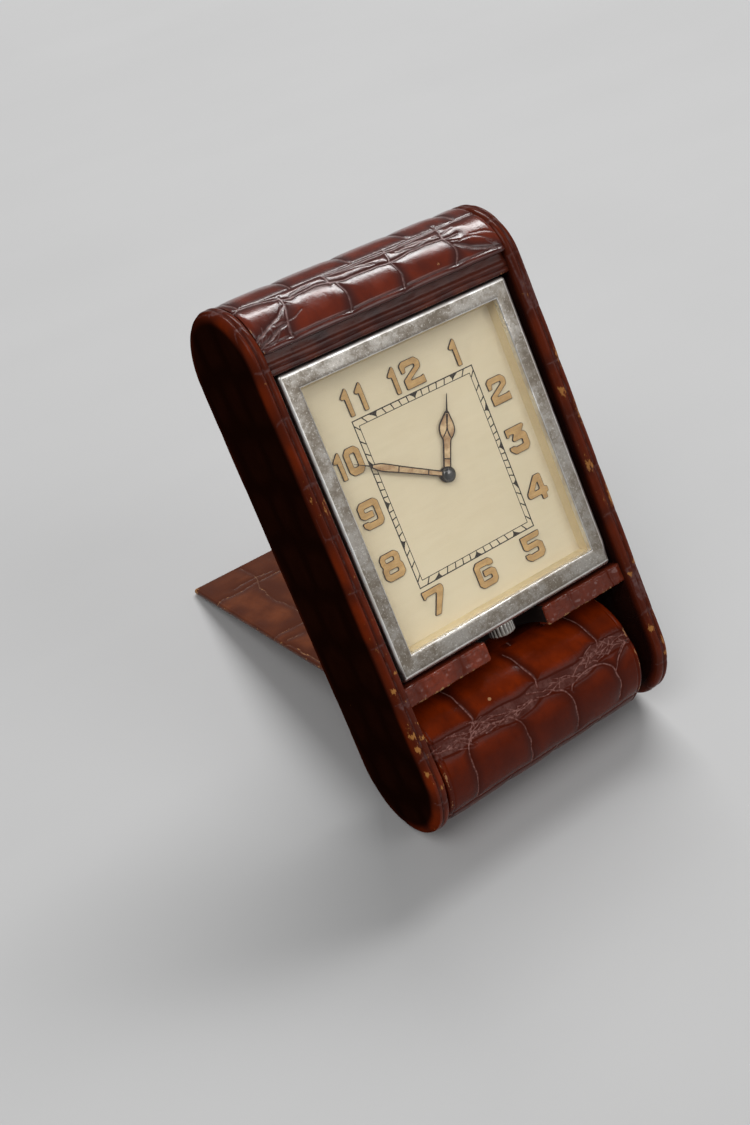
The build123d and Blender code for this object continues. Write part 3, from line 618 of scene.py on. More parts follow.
# %% Folds of the cap, as places to the right and degrees up the round front
cap_folds = [
    [(-33.1, 57.4), (-27.9, 57), (-21.8, 51.9), (-20.1, 45.8), (-15, 49.6), (-10.7, 48.7), (-8.2, 44.2),
     (-5, 43), (0.7, 42.6), (5.7, 40.9), (12.2, 43.6), (19.6, 41.5), (23.3, 41.4)],
    [(-9.5, 55.1), (5.1, 52.7), (19.5, 55.2), (31.4, 57)],
    [(-21.2, 52.1), (-21.3, 42.5), (-23.2, 28.6), (-23.9, 21.2), (-24.2, 15.8), (-23.4, 6.9)],
    [(-23.8, 25.2), (-27, 22.2), (-33, 14.2)],
    [(-21.3, 42.5), (-25.3, 32.3), (-30.2, 25.5), (-32.7, 19.5)],
    [(-8.2, 44.2), (-7.9, 33.8), (-8.4, 23.1), (-9.5, 14.6)],
    [(5.4, 39.8), (5.5, 29.3), (4.9, 21.2), (4, 12.2)],
    [(19.6, 41.5), (20.4, 30.2), (20, 21.5), (18.6, 15.1)],
    [(20.8, 32.1), (24.8, 20.7), (31.7, 12.7)],
    [(5, 40.7), (6.6, 57.2)],
    [(19.6, 41.5), (20.8, 61.5)],
    [(-9.5, 45), (-9.5, 56)]]
cap_wrinkles = [
    [(-22, 40), (-27, 30), (-31, 20)],
    [(22, 36), (27, 26), (31, 14)],
    [(-30, 54), (-10, 47), (8, 46), (30, 48)]]
arc_mm = np.radians(1) * cap_radius
print(len(cap_folds), "folds on the cap, one degree is", round(arc_mm, 3), "mm")


# %% The cap's slice
def padded(marks, count):
    """The same marks followed by so many zeros, for the points of the hollow side."""
    return {name: np.pad(values, ((0, 0), (0, count))) for name, values in marks.items()}


def unrolled(lines, per_degree):
    """Lines laid by places to the right and degrees round, as millimetres on the flat leather."""
    return [[(x, turn * per_degree) for x, turn in line] for line in lines]


def traced(points, spacing):
    """A path of many short legs resampled so that point k lies at the given lengths along it."""
    points = np.asarray(points, float)
    lengths = np.concatenate([[0], np.cumsum(np.hypot(*np.diff(points, axis=0).T))])
    return np.stack([np.interp(spacing, lengths, points[:, k]) for k in range(2)], -1)


def corner(middle, radius, start, end, count=8):
    """Points of an arc round a middle, between two angles in degrees."""
    turn = np.radians(np.linspace(start, end, count))
    return np.stack([middle[0] + radius * np.cos(turn), middle[1] + radius * np.sin(turn)], -1)


round_off = 0.55
front_stop = np.degrees(np.arcsin((lip_up + round_off - arc_spacing) / (cap_radius - round_off)))
lip_middle = (np.cos(np.radians(front_stop)) * (cap_radius - round_off), lip_up + round_off)
cap_path = np.concatenate([
    [(lip_back, lip_up)],
    corner(lip_middle, round_off, -90, front_stop),
    corner((0, arc_spacing), cap_radius, front_stop + 0.5, 180, 300),
    [(-cap_radius, back_edge + round_off)],
    corner((-cap_radius + round_off, back_edge + round_off), round_off, 180, 270),
    [(turned_in, back_edge)]])
lip_length = np.hypot(*np.diff(cap_path[:9], axis=0).T).sum()
whole = np.hypot(*np.diff(cap_path, axis=0).T).sum()
front_rows = np.concatenate([np.linspace(0, lip_length - 0.6, 6)[:-1],
                             np.arange(lip_length - 0.6, lip_length + 15.5, 0.2)])
back_rows = np.concatenate([np.arange(front_rows[-1] + 0.3, whole - 3.2, 0.55),
                            np.linspace(whole - 3.0, whole, 12)])
cap_steps = np.concatenate([front_rows, back_rows])
cap_line = traced(cap_path, cap_steps)
heading = np.gradient(cap_line, cap_steps, axis=0)
heading /= np.hypot(*heading.T)[:, None]
cap_out = np.stack([heading[:, 1], -heading[:, 0]], -1)
print("cap slice is", round(whole, 1), "mm long in", len(cap_steps), "points")

# %% [markdown]
# ### Folds on the cap
# Three sorts of fold meet here: the ones listed for the front, the lattice's on the back, and
# one shallow fold where the two areas touch. Fine wrinkles are scattered along three lines: one near
# each side, and one across the front.

# %% The cap's folds
cap_right = np.concatenate([[-cheek_inner], np.linspace(-31.3, 31.3, 250), [cheek_inner]])
right, step = np.meshgrid(cap_right, cap_steps, indexing="ij")
up_front = (step - lip_length) + arc_mm * front_stop
bend_a = right + 0.5 * (value_field(right, step, 2.3, 3) - 0.5)
bend_b = up_front + 0.5 * (value_field(right, step, 2.1, 4) - 0.5)
by_hand = fold_distance(bend_a, bend_b, unrolled(cap_folds, arc_mm))
front_end = arc_mm * 57.5
grown = cell_distance(bend_a + 2.0, bend_b - 3.0, 15.0, 17.0, 11)
grown = np.where(up_front > front_end, grown, 99.0)
distance = np.minimum(np.minimum(by_hand, grown), np.abs(up_front - front_end) + 0.3)
left_fan, right_fan, top_line = unrolled(cap_wrinkles, arc_mm)
wrinkles = strokes(left_fan, 9, 8.0, 1.3, 0.5, 13)
wrinkles += strokes(right_fan, 6, 7.0, 1.2, 0.5, 14)
wrinkles += strokes(top_line, 5, 8.0, 0.5, 0.3, 15)
wrinkle = bell(fold_distance(bend_a, bend_b, wrinkles), 0.20)
height, crease, heart = hide_marks(distance, wrinkle * 0.8)
print(len(wrinkles), "wrinkles, and folds at every one of", distance.size, "points")

# %% [markdown]
# ### The cap's shape
# The slice is pushed in at the folds, at a groove beside the lip, and at both ends, where it goes
# down behind the cheeks. The same numbers tell the material where to be dark, pale or worn, and a
# short nick on the front is a bell along one slanted line.

# %% The cap's skin
groove = bell(step - lip_length - 0.9, 0.22)
lip_edge = ease(step, lip_length - 0.9, lip_length + 1.3) * (1 - ease(step, whole - 5, whole - 2.5))
side_roll = 1.2
sides = np.minimum(cheek_inner - np.abs(right), side_roll) / side_roll
push = lip_edge * (height - 0.26) - 0.16 * groove - 0.28 * (1 - sides) ** 2
push += lip_edge * 0.10 * (value_field(right, up_front, 7.0, 9) - 0.5)
skin = cap_line[None] + push[..., None] * cap_out[None]
inner_line = np.concatenate([
    [(turned_in, back_edge + leather), (-cap_hollow, back_edge + leather)],
    corner((0, arc_spacing), cap_hollow, 180, 14.0, 40),
    [(lip_back, lip_up + leather)]])
inner_ring = np.broadcast_to(inner_line, (len(cap_right),) + inner_line.shape)
slices = np.concatenate([skin, inner_ring], 1)
rings = place(np.broadcast_to(cap_right[:, None], slices.shape[:2]), slices[..., 1], slices[..., 0])
rub = 0.55 * (1 - sides) + 0.5 * bell(step - lip_length, 0.5) * value_field(right, step, 3.0, 21)
nick_along = (right - 14.3) / 1.5
nick_across = (up_front - right * 0.55 + 7.865 - arc_mm * 21.5) / 0.45
rub += 1.1 * np.exp(-(nick_along**2 + nick_across**2))
marks = {
    "crease": np.maximum(crease * lip_edge, 0.5 * groove),
    "heart": heart * lip_edge * (1 - 0.6 * groove),
    "worn": rub * 0.55}
marks = padded(marks, len(inner_line))
add_piece(ring_mesh("cap_skin", rings, marks, sharp=50), polished_hide, "case", "cap_leather")

# %% [markdown]
# ## Strip behind the lip
# Under the lip a narrow leather strip covers the edge of the case, set back from the cap.

# %% The strip
strip_low, strip_high, strip_front = 90.5, 95.0, 13.05
strip_right = np.linspace(-cheek_inner, cheek_inner, 260)
right, up = np.meshgrid(strip_right, np.linspace(strip_low, strip_high, 30), indexing="ij")
roll_over = 0.30 * bell(up - strip_low, 0.16) + 0.25 * ease(up, 92.6, 93.6)
lines = 0.20 * bell(up - 91.9 + 0.15 * np.sin(right / 4), 0.2)
bumps = 0.10 * (value_field(right * 0.6, up, 1.6, 31) - 0.5)
front = strip_front - roll_over - lines + bumps * 0.8
slice_out = np.concatenate([front, np.broadcast_to([12.25, 12.25], (len(strip_right), 2))], 1)
slice_up = np.concatenate([up, np.broadcast_to([strip_high, strip_low], (len(strip_right), 2))], 1)
rings = place(np.broadcast_to(strip_right[:, None], slice_up.shape), slice_up, slice_out)
marks = {
    "crease": lines * 3,
    "heart": ease(value_field(right, up, 3.5, 32), 0.2, 0.8),
    "worn": 0.5 * bell(up - 90.7, 0.3) * value_field(right, up, 2.2, 33)}
strip_mesh = ring_mesh("lip_strip", rings, padded(marks, 2), sharp=50)
add_piece(strip_mesh, lip_hide, "case", "cap_inner_strip")

# %% [markdown]
# ## Cheeks
# Each cheek is a board in two leathers that meet in a seam round the middle of its edge. Outlines of
# the cheek, shrinking from the edge to the middle of its face, make the rings. Folds that cross the
# face carry on over the edge, as they do where hide is turned over a board.

# %% Cheek outline
per_arc, per_straight = 105, 205
arc_turn = np.linspace(0, np.pi, per_arc + 1)[:-1]
straight = np.linspace(0, 1, per_straight + 1)[:-1]
outline_turn = np.concatenate([
    arc_turn, np.full(per_straight, np.pi),
    np.pi + arc_turn, np.full(per_straight, 2 * np.pi)])
outline_up = np.concatenate([
    np.full(per_arc, arc_spacing), arc_spacing * (1 - straight),
    np.zeros(per_arc), arc_spacing * straight])
edge_out = side_radius * np.cos(outline_turn)
edge_up = outline_up + side_radius * np.sin(outline_turn)
edge_along = np.concatenate([[0], np.cumsum(np.hypot(np.diff(edge_out), np.diff(edge_up)))])
print("a cheek's edge is", round(edge_along[-1], 1), "mm round")

# %% [markdown]
# ### One half of a cheek
# The same function makes all four skins. Each is pushed in at grown folds and carries four marks:
# crease, heart and worn as everywhere, and edge, which says how far a point belongs to the rounded
# rim rather than to the flat face, and fades towards the back of the cheek as painted shade.

# %% Half a cheek
def cheek_half(name, side, profile, seed, wear_spots, depth):
    """Rings of the outline: each has a radius and a distance across the cheek. Folds sink the face
    along its thickness and the rounded edge along its radius. The wear grows by a bell round each
    spot, and depth says how bright the scales' hearts are."""
    across, radius = np.asarray(profile, float).T
    across, radius = across[:, None], radius[:, None]
    turn, up = outline_turn[None], outline_up[None]
    out_at = radius * np.cos(turn)
    up_at = up + radius * np.sin(turn)
    bent_out = out_at + 0.7 * (value_field(out_at, up_at, 3.0, seed + 1) - 0.5)
    bent_up = up_at + 0.7 * (value_field(out_at, up_at, 2.7, seed + 2) - 0.5)
    distance = cell_distance(bent_out + 4.0, bent_up, 10.5, 12.5, seed)
    height, crease, heart = hide_marks(distance)
    on_edge = ease(radius, 13.3, 15.0)
    sink = 0.55 * (height - cushion_height)
    radial = radius + on_edge * (sink - 0.08)
    flat = (1 - on_edge) * 0.4 * sink
    places = place((across + flat) * side, up + radial * np.sin(turn), radial * np.cos(turn))
    along = np.broadcast_to(edge_along[None], radial.shape)
    level = across + 0 * along
    rub = value_field(along, level * 2.0, 3.1, seed + 5)
    rub = rub * value_field(along, along * 0, 9.0, seed + 6)
    worn = on_edge * (0.04 + 0.48 * rub)
    for spot_up, spot_out, size in wear_spots:
        worn = worn + 0.5 * on_edge * bell(np.hypot(up_at - spot_up, out_at - spot_out), size)
    seam = bell(across - cheek_seam, 0.36) * on_edge
    seam_line = seam * (0.5 + 0.5 * value_field(along, along * 0, 1.4, seed + 9))
    uneven = 1 - 0.5 * on_edge * value_field(along, level * 1.5, 2.3, seed + 8)
    # The edge mark fades towards the back of the cheek, where the rim turns as dark as the face: painted shade on
    # the unlit back of the rim.
    glow = ease(radius, 12.2, 14.6) * (0.25 + 0.75 * ease(np.cos(turn), -0.5, 0.4))
    marks = {
        "crease": np.maximum(crease * (0.4 + 0.6 * on_edge), seam_line),
        "heart": heart * (1 - seam) * depth * uneven,
        "worn": worn * (1 - 0.7 * seam),
        "edge": glow + 0 * along}
    return ring_mesh(name, places, marks, sharp=60)


# %% [markdown]
# ### One leather, two looks
# The outer face is almost black, while its turned edge was rubbed back to red-brown. A mark on the
# mesh, edge, blends the two sets of colours in one material, and towards the back of the cheek it
# fades, so the unlit back of the rim is painted as dark as the face: painted shade. The face takes a
# material of its own, in the same colours, that mirrors nothing, so that it stays as dark as it should
# beside a pale floor; the turned edge keeps a little polish.

# %% Two-tone leather
def two_tone(name, face, edge, specular):
    """Scale leather whose colours change from face to edge by the mesh's edge mark."""
    material = leather_material(name, *face, specular=specular)
    tree = material.node_tree
    mottle = next(node for node in tree.nodes if node.type == "GROUP")
    blend = mark(tree, "edge")
    for title, dark, bright in zip(("Heart", "Rim", "Fold"), face, edge):
        tree.links.new(mix(tree, blend, dark, bright), mottle.inputs[title + " Colour"])
    return material


bare_hide = (0.42, 0.18, 0.05)
face_colours = [(0.014, 0.0034, 0.0016), (0.008, 0.0020, 0.0010), (0.018, 0.006, 0.004), bare_hide]
inner_colours = [(0.030, 0.008, 0.004), (0.015, 0.004, 0.003), (0.03, 0.015, 0.012), bare_hide]
edge_colours = [(0.22, 0.026, 0.004), (0.085, 0.014, 0.006), (0.13, 0.060, 0.055)]
outer_leather = two_tone("cheek outer leather", face_colours, edge_colours, 0.12)
inner_leather = two_tone("cheek inner leather", inner_colours, edge_colours, 0.12)
face_leather = two_tone("cheek face leather", face_colours, edge_colours, 0.0)

# %% The four cheek skins
face_radii = np.concatenate([np.linspace(0.02, 13.1, 36), [13.3, 13.6]])
outer_profile = [(cheek_outer, r) for r in face_radii] + [
    (34.96, 13.95), (34.86, 14.3), (34.68, 14.63), (34.42, 14.92), (34.15, 15.12), (33.9, 15.24),
    (33.7, 15.26), (33.52, 15.2), (33.38, 15.09), (33.27, 14.98), (cheek_seam, 14.93),
    (cheek_seam, 14.0), (cheek_seam, 0.02)]
inner_profile = [
    (cheek_seam, 0.02), (cheek_seam, 14.0), (cheek_seam, 14.93), (33.12, 14.99), (33.02, 15.1),
    (32.88, 15.21), (32.7, 15.3), (32.4, 15.3), (32.1, 15.24), (31.82, 15.1), (31.6, 14.88),
    (31.46, 14.6), (cheek_inner, 14.3)] + [(cheek_inner, r) for r in face_radii[::-1]]
left_chips = ((10.9, 15.1, 0.8), (8.0, 15.1, 0.9), (21.6, 15.1, 0.5), (2.0, 15.0, 0.5))
left_rubs = ((9.6, 15.2, 0.4), (-2.0, 15.2, 0.8), (25.0, 15.2, 0.5))
right_chips = ((19.2, 15.2, 0.7), (-0.3, 15.3, 1.2), (-4.5, 14.6, 1.2), (56.0, 15.2, 3.2),
               (70.0, 15.2, 2.4), (36.0, 15.2, 3.2))
right_rubs = ((17.0, 15.2, 0.6), (3.0, 15.2, 0.7), (62.0, 15.2, 1.2), (44.0, 15.2, 1.2))
rounding = np.arange(len(outer_profile) - 1) >= len(face_radii) + 4
rounding = np.append(np.repeat(rounding, len(outline_up)), [False, True])
cheeks = (("left", -1, left_chips, left_rubs, 41), ("right", 1, right_chips, right_rubs, 61))
for hand, side, chips, rubs, seed in cheeks:
    outer = cheek_half(hand + "_outer_skin", side, outer_profile, seed, chips, 0.8 - 0.2 * side)
    add_piece(outer, face_leather, "case", hand + "_cheek_leather", second=outer_leather)
    outer.polygons.foreach_set("material_index", rounding.astype(np.int32))
    inner = cheek_half(hand + "_inner_skin", side, inner_profile, seed, rubs, 0.7 - 0.2 * side)
    add_piece(inner, inner_leather, "case", hand + "_cheek_lining")

# %% [markdown]
# ## The roll
# The cover's hinge end is a fat roll. Its hide shows two rows of scales with a pale band of crossing
# wrinkles between them, where the skin flexed. The slices here are circles, and the folds are listed
# where they face you and grown elsewhere.

# %% Folds of the roll, as places to the right and degrees above straight out
roll_band = [
    (-31.5, 20.6), (-30.1, 20.2), (-25.9, 17.4), (-20.6, 17), (-14.2, 17), (-9.2, 13.9), (-4.8, 13.9),
    (-1, 19.2), (2.4, 15.9), (7.8, 14.1), (12.5, 14), (16.4, 19.5), (20.5, 18.9), (26.4, 16.2)]
roll_folds = [
    [(-19.1, 51.7), (-18.6, 28.4), (-19.1, 20)],
    [(-2, 64.5), (-1.4, 47.4), (-0.7, 32.3), (-0.8, 20.5)],
    [(17.4, 50.8), (17.7, 37.3), (18.2, 25.6), (16.4, 19.5)],
    [(-21.6, 14.5), (-23.2, 5.5), (-23.1, -9.5), (-23.1, -28), (-23.1, -46.8)],
    [(-22.2, 10.5), (-20.1, 16.9), (-16.5, 16.3), (-12.6, 13.6), (-9.9, 9.8), (-7.9, 0.1),
     (-7.8, -17.3), (-6.9, -49.9)],
    [(0.6, 15.7), (3.4, 8.1), (5.7, -0.3), (6.2, -12.9), (6.2, -27.5), (6.5, -40.8)],
    [(6.5, 1.7), (7.1, 6.1), (10.7, 10.2), (14.4, 11.2), (17.8, 6.2), (19.3, -5.4), (20.2, -19.1),
     (19.5, -35.8)],
    [(19.3, -5.4), (21.3, 5.8), (25, 13.7)],
    [(-31.5, -50), (-12, -47), (8, -51), (27, -48)],
    [(-19.1, 51.7), (-20, 68)],
    [(17.4, 50.8), (16.5, 68)]]
roll_scratch = [(-20.5, 8.0), (-15.0, 8.8), (-8.4, 9.8)]
degree = np.radians(1) * roll_radius
print(len(roll_folds), "folds on the roll, one degree is", round(degree, 3), "mm")


# %% The roll's places
def cover_columns(count):
    """Places across the cover, seven more round each soft edge, and the share of the full
    thickness at each: the sine of the turn round the edge."""
    turn = np.radians(np.linspace(0, 90, 8)[:-1])
    inset = soft_edge * (1 - np.cos(turn))
    middle = np.linspace(cover_left + soft_edge, cover_right - soft_edge, count)
    columns = np.concatenate([cover_left + inset, middle, (cover_right - inset)[::-1]])
    return columns, np.concatenate([np.sin(turn), np.ones(count), np.sin(turn)[::-1]])


turns = np.concatenate([
    np.arange(-62, -16, 1.15), np.arange(-16, 46, 0.6), np.arange(46, 72, 1.1),
    np.arange(72.8, 297.5, 2.7)])
columns, full = cover_columns(350)
shrink = soft_edge * (1 - full)[:, None]
right, turn = np.meshgrid(columns, turns, indexing="ij")
around = np.where(turn > 180, turn - 360, turn) * degree
side_gap = np.minimum(right - cover_left, cover_right - right)
print("the roll has", len(columns), "slices of", len(turns), "points")

# %% [markdown]
# ### Folds and wrinkles on the roll
# The listed folds cover the front and the lattice grows the rest. The band counts as one wide
# fold, filled with strokes: many short lines and a few that turn further across it. Faint feathers
# reach from the band into the scales.

# %% The roll's folds
grown_below, grown_above = -50, 69
bend_a = right + 0.6 * (value_field(right, around, 2.4, 71) - 0.5)
bend_b = around + 0.6 * (value_field(right, around, 2.2, 72) - 0.5)
by_hand = fold_distance(bend_a, bend_b, unrolled(roll_folds, degree))
band_line, scratch_line = unrolled([roll_band, roll_scratch], degree)
to_band = fold_distance(right, around, [band_line])
grown = cell_distance(bend_a, bend_b, 14.0, 17.0, 73)
grown = np.where((turn > grown_above) | (turn < grown_below), grown, 99.0)
band_half = 0.9 + 1.3 * value_field(right, around, 5.0, 75)
beyond_band = np.maximum(to_band - band_half, 0) + 0.25
distance = np.minimum(np.minimum(by_hand, grown), beyond_band)
in_band = 1 - ease(to_band, band_half, band_half + 0.7)
pleats = strokes(band_line, 46, 7.0, 0.7, 0.5, 76) + strokes(band_line, 10, 5.0, 1.0, 1.2, 77)
pleat = bell(fold_distance(bend_a, bend_b, pleats), 0.16)
reach_out = 1 - ease(to_band, band_half + 0.6, band_half + 2.6)
feathers = bell(cell_distance(right, around * 0.16, 0.9, 1.4, 78, 0.45), 0.07)
feathers = feathers * (1 - ease(to_band, 1.5, 5.5)) * 0.10
fine = np.maximum(reach_out * pleat * 0.95, feathers * (1 - in_band))
height, crease, heart = hide_marks(distance, fine)
crease = np.maximum(crease, (0.46 + 0.2 * value_field(right * 0.5, around, 1.2, 82)) * in_band)
scratch = 0.8 * bell(fold_distance(right, around, [scratch_line]), 0.22)
crease = np.maximum(crease, scratch * ease(value_field(right, around, 1.1, 79), 0.3, 0.6))
print(len(pleats), "strokes in the band")

# %% [markdown]
# ### The roll's shape
# The folds fade out where the roll disappears under the flap. A groove follows each end, just inside
# the rounded rim, and leaves a bead where the hide is turned over the edge of the block.

# %% The roll's skin
fade = 1 - ease(turn, 64, 73) * (1 - ease(turn, 98, 106))
push = fade * (height - cushion_height - 0.10 * in_band)
radius = roll_radius - 0.02 + push - shrink - 0.22 * bell(side_gap - 1.25, 0.22) * fade
rings = place(right, radius * np.sin(np.radians(turn)), radius * np.cos(np.radians(turn)))
rim = bell(side_gap - 0.5, 0.35)
speck_right, speck_turn, speck_size = -12.6, 33.5, 0.16
speck = np.exp(-(((right - speck_right) ** 2 + (around - speck_turn * degree) ** 2) / speck_size))
# From a little above straight out downwards the scales' hearts dim to three tenths: painted shade on the underside
# of the roll.
marks = {
    "crease": np.maximum(crease, 0.7 * rim * value_field(right, around, 2.0, 80)),
    "heart": heart * (1 - 0.8 * in_band) * (0.30 + 0.70 * ease(around, -4.0, 4.5)),
    "worn": 0.75 * rim * value_field(right, around, 2.6, 81) + 1.2 * speck}
add_piece(ring_mesh("roll_skin", rings, marks), roll_hide, "cover", "roll_leather")

# %% [markdown]
# ## The flap
# A stiff board covered with drier, flatter, browner hide; it is the stand now, and the front when
# shut. Each slice runs along the outside, round the free end, and back along the inside, where the
# hide is turned in round the lining. Towards the roll its brown goes over into the roll's red.

# %% Folds of the flap, as places to the right and millimetres from the roll
flap_folds = [
    [(-16.7, 94.2), (-16.3, 90.1), (-16.6, 85.3), (-18.4, 80.6), (-19.9, 74.7), (-20.3, 68.3),
     (-19.3, 60.1), (-21, 51.9)],
    [(-31.3, 81.3), (-27, 81.7), (-22.4, 80.7), (-18.6, 82), (-16.4, 81.6), (-11.6, 81.5),
     (-2, 80.2), (8, 82), (18, 80.6), (27, 81.5)],
    [(-23.9, 84.1), (-20.2, 84.6), (-17.5, 84.5), (-12, 83.6)],
    [(-31.5, 51.7), (-26.9, 52.2), (-23, 51.7), (-12, 53), (-2, 51.5), (8, 52.6), (27, 51.8)],
    [(-29.3, 47.8), (-27, 47.9), (-24.8, 47.3)],
    [(-31.9, 48.2), (-30.2, 45.8), (-30.2, 40.7), (-29.9, 32.9), (-29, 24)],
    [(-3.5, 94), (-4.2, 81), (-3.2, 66), (-4.5, 52)],
    [(9.5, 94), (9.8, 81), (10.6, 66), (9.2, 52)],
    [(20, 94), (19.4, 81), (20.2, 66), (19.6, 52)],
    [(-17, 52), (-17.8, 40), (-17, 23)],
    [(-1, 52), (-0.4, 38), (-1.6, 23)],
    [(14.5, 52), (15.2, 38), (14.2, 23)],
    [(-31.5, 23.5), (-14, 22), (4, 24), (27, 22.5)],
    [(-9, 23), (-8.2, 3)],
    [(7, 23), (8.2, 3)],
    [(-22, 23), (-22.6, 3)],
    [(19, 23), (18.6, 3)]]
print(len(flap_folds), "folds on the flap")

# %% The flap's two looks
flap_colours = [(0.165, 0.044, 0.015), (0.078, 0.020, 0.009), (0.30, 0.165, 0.09),
                (0.34, 0.16, 0.06)]
flap_hide = two_tone("flap leather", flap_colours, roll_colours, 0.14)

# %% The flap's slice
outside = np.concatenate([[-0.8, -0.4], np.arange(0, flap_reach - 1.2, 0.42)])
end_turn = np.radians(np.linspace(90, -90, 11))
end_reach = flap_reach - soft_edge + soft_edge * np.cos(end_turn)
inside = np.array([93.4, 92.6, 92.0, 91.75, 91.5, 91.0, 80, 60, 40, 20, 7.6, 7.1, 6.9, 6.6, 4, 1])
reach = np.concatenate([outside, end_reach, inside])
flap_middle = 14.0
slice_lift = np.concatenate([
    np.full(len(outside), roll_radius), flap_middle + soft_edge * np.sin(end_turn),
    np.full(len(inside), flap_under)])
top = np.where(np.arange(len(reach)) < len(outside), 1.0, 0.0)
under = np.where(np.arange(len(reach)) < len(outside) + len(end_turn), 0.0, 1.0)
columns, full = cover_columns(150)
thin = full[:, None]
right, along = np.meshgrid(columns, reach, indexing="ij")
print("the flap has", len(columns), "slices of", len(reach), "points")

# %% [markdown]
# ### The flap's shape
# The outside is pressed flatter than the rest of the hide, so its folds are shallower. The hem is a
# line sunk beside the edge, the inside is let in for the lining, and the two long edges are rounded
# by thinning the slice about its middle.

# %% The flap's skin
bend_a = right + 0.7 * (value_field(right, along, 2.6, 91) - 0.5)
bend_b = along + 0.7 * (value_field(right, along, 2.4, 92) - 0.5)
distance = fold_distance(bend_a, bend_b, flap_folds)
height, crease, heart = hide_marks(distance)
hem = np.minimum(np.minimum(right - cover_left, cover_right - right), flap_reach - along)
fade = ease(along, 0.0, 8.0) * top
lift = slice_lift + fade * (0.45 * (height - cushion_height) - 0.10 * bell(hem - 0.95, 0.22))
lift -= top * 0.35 * (1 - ease(along, -0.8, 0.6))
lining_depth = 0.27
lift += lining_depth * ease(hem, 2.35, 2.6) * ease(along, 6.7, 7.0) * under
lift = flap_middle + (lift - flap_middle) * thin
end_start = flap_reach - soft_edge
reach_at = np.where(along > end_start, end_start + (along - flap_reach + soft_edge) * thin, along)
flap_up = reach_at * np.sin(tilt) + lift * np.cos(tilt)
flap_out = lift * np.sin(tilt) - reach_at * np.cos(tilt)
dry = value_field(right, along, 2.2, 95)
corner_rub = bell(np.hypot(right - cover_left, along - flap_reach), 2.2)
hem_rub = 0.42 * (1 - ease(hem, 0.1, 0.7)) * dry
redness = along + 9 * (value_field(right, along, 7.0, 97) - 0.5)
marks = {
    "crease": crease * top * 0.8,
    "heart": heart * ease(value_field(right, along, 6, 96), 0.1, 0.9),
    "worn": np.maximum(crease * dry * top * 0.85, hem_rub) + 0.6 * corner_rub,
    "edge": 0.9 * top * (1 - ease(redness, 3.0, 34.0))}
flap_mesh = ring_mesh("flap_skin", place(right, flap_up, flap_out), marks, sharp=60)
add_piece(flap_mesh, flap_hide, "cover", "flap_leather")

# %% [markdown]
# ## Shelf strips
# Two short leather-covered ledges carry the clock, one each side of the gap for the crown. Each is a
# small box with soft edges; its inner end is cut round to give the fingers room.

# %% Shelf strips
ledge_front, ledge_back, ledge_low, ledge_high = 12.8, 9.0, 15.5, 20.0
ledge_middle, gap_edge, gap_rounding = 17.75, 9.1, 0.7


def ledge(name, side, seed):
    """Slices from the cheek to the gap: a rounded block, dented by folds, scuffed at its foot."""
    end_turn = np.radians(np.linspace(12, 90, 8))
    columns = np.concatenate([
        np.linspace(cheek_inner, gap_edge, 96), gap_edge - gap_rounding * np.sin(end_turn)])
    pull = np.concatenate([np.zeros(96), gap_rounding * (1 - np.cos(end_turn))])[:, None]
    loop = np.concatenate([
        corner((12.2, 19.4), 0.6, 90, 0, 7),
        np.stack([np.full(14, ledge_front), np.linspace(19.2, 16.3, 14)], -1),
        corner((12.1, 16.2), 0.7, 0, -90, 7),
        [(ledge_back, ledge_low), (ledge_back, ledge_high)]])
    right, index = np.meshgrid(columns, np.arange(len(loop)), indexing="ij")
    out, up = loop[index, 0], loop[index, 1]
    folds = [[(16.4, 21), (15.9, 18), (16.6, 15)], [(28.0, 21), (28.6, 15)]]
    height, crease, heart = hide_marks(fold_distance(right, up, folds))
    height = height - 0.24 * (value_field(right, up, 0.8, seed + 6) - 0.5)
    face = ease(out, 11.9, 12.6)
    uneven = 0.22 * (value_field(right, up, 1.5, seed + 1) - 0.6)
    out = out + face * (height - cushion_height + uneven) - pull * face
    up = ledge_middle + (up - ledge_middle) * (1 - 0.5 * pull / 2.2)
    foot = (1 - ease(up, 15.6, 16.6)) * ease(out, 11.0, 12.0)
    specks = ease(value_field(right * 0.7, up, 0.5, seed + 5), 0.60, 0.80)
    cloudy = 0.2 + 0.6 * value_field(right, up, 2.5, seed + 7)
    scuff = 0.15 + 0.55 * value_field(right, up, 1.7, seed + 3)
    # The right ledge's hearts are painted dimmer than the left's, 0.4 against 1.0: painted shade on the right
    # ledge.
    marks = {
        "crease": face * np.maximum(0.06 * crease, 0.42 * specks),
        "heart": heart * face * cloudy * (0.7 - 0.3 * side),
        "worn": foot * scuff + 0.25 * (pull > 0.05) * face}
    return ring_mesh(name, place(side * right, up, out), marks, sharp=60)


add_piece(ledge("left_ledge", -1, 101), strip_hide, "case", "shelf_leather")
add_piece(ledge("right_ledge", 1, 111), strip_hide, "case", finish="shelf_leather")

# %% [markdown]
# ## The bezel
# A flat nickel-plated frame, dulled and pitted, whose outer edge is still bright where hands polish
# it. Its section is carried round a rectangle: each ring is the rectangle pulled in by so much.

# %% The bezel's section carried round
def rectangle(half_wide, half_high, radius, per_side=70, per_corner=9):
    """Points round a rectangle whose corners are arcs of the given radius, from the right side on."""
    corners = []
    for quarter, (sign_x, sign_y) in enumerate(((1, 1), (-1, 1), (-1, -1), (1, -1))):
        middle = (sign_x * (half_wide - radius), sign_y * (half_high - radius))
        corners.append(corner(middle, radius, quarter * 90, quarter * 90 + 90, per_corner))
    share = np.linspace(0, 1, per_side + 2)[1:-1, None]
    closed = []
    for this, after in zip(corners, corners[1:] + corners[:1]):
        closed += [this, this[-1] + share * (after[0] - this[-1])]
    return np.concatenate(closed)


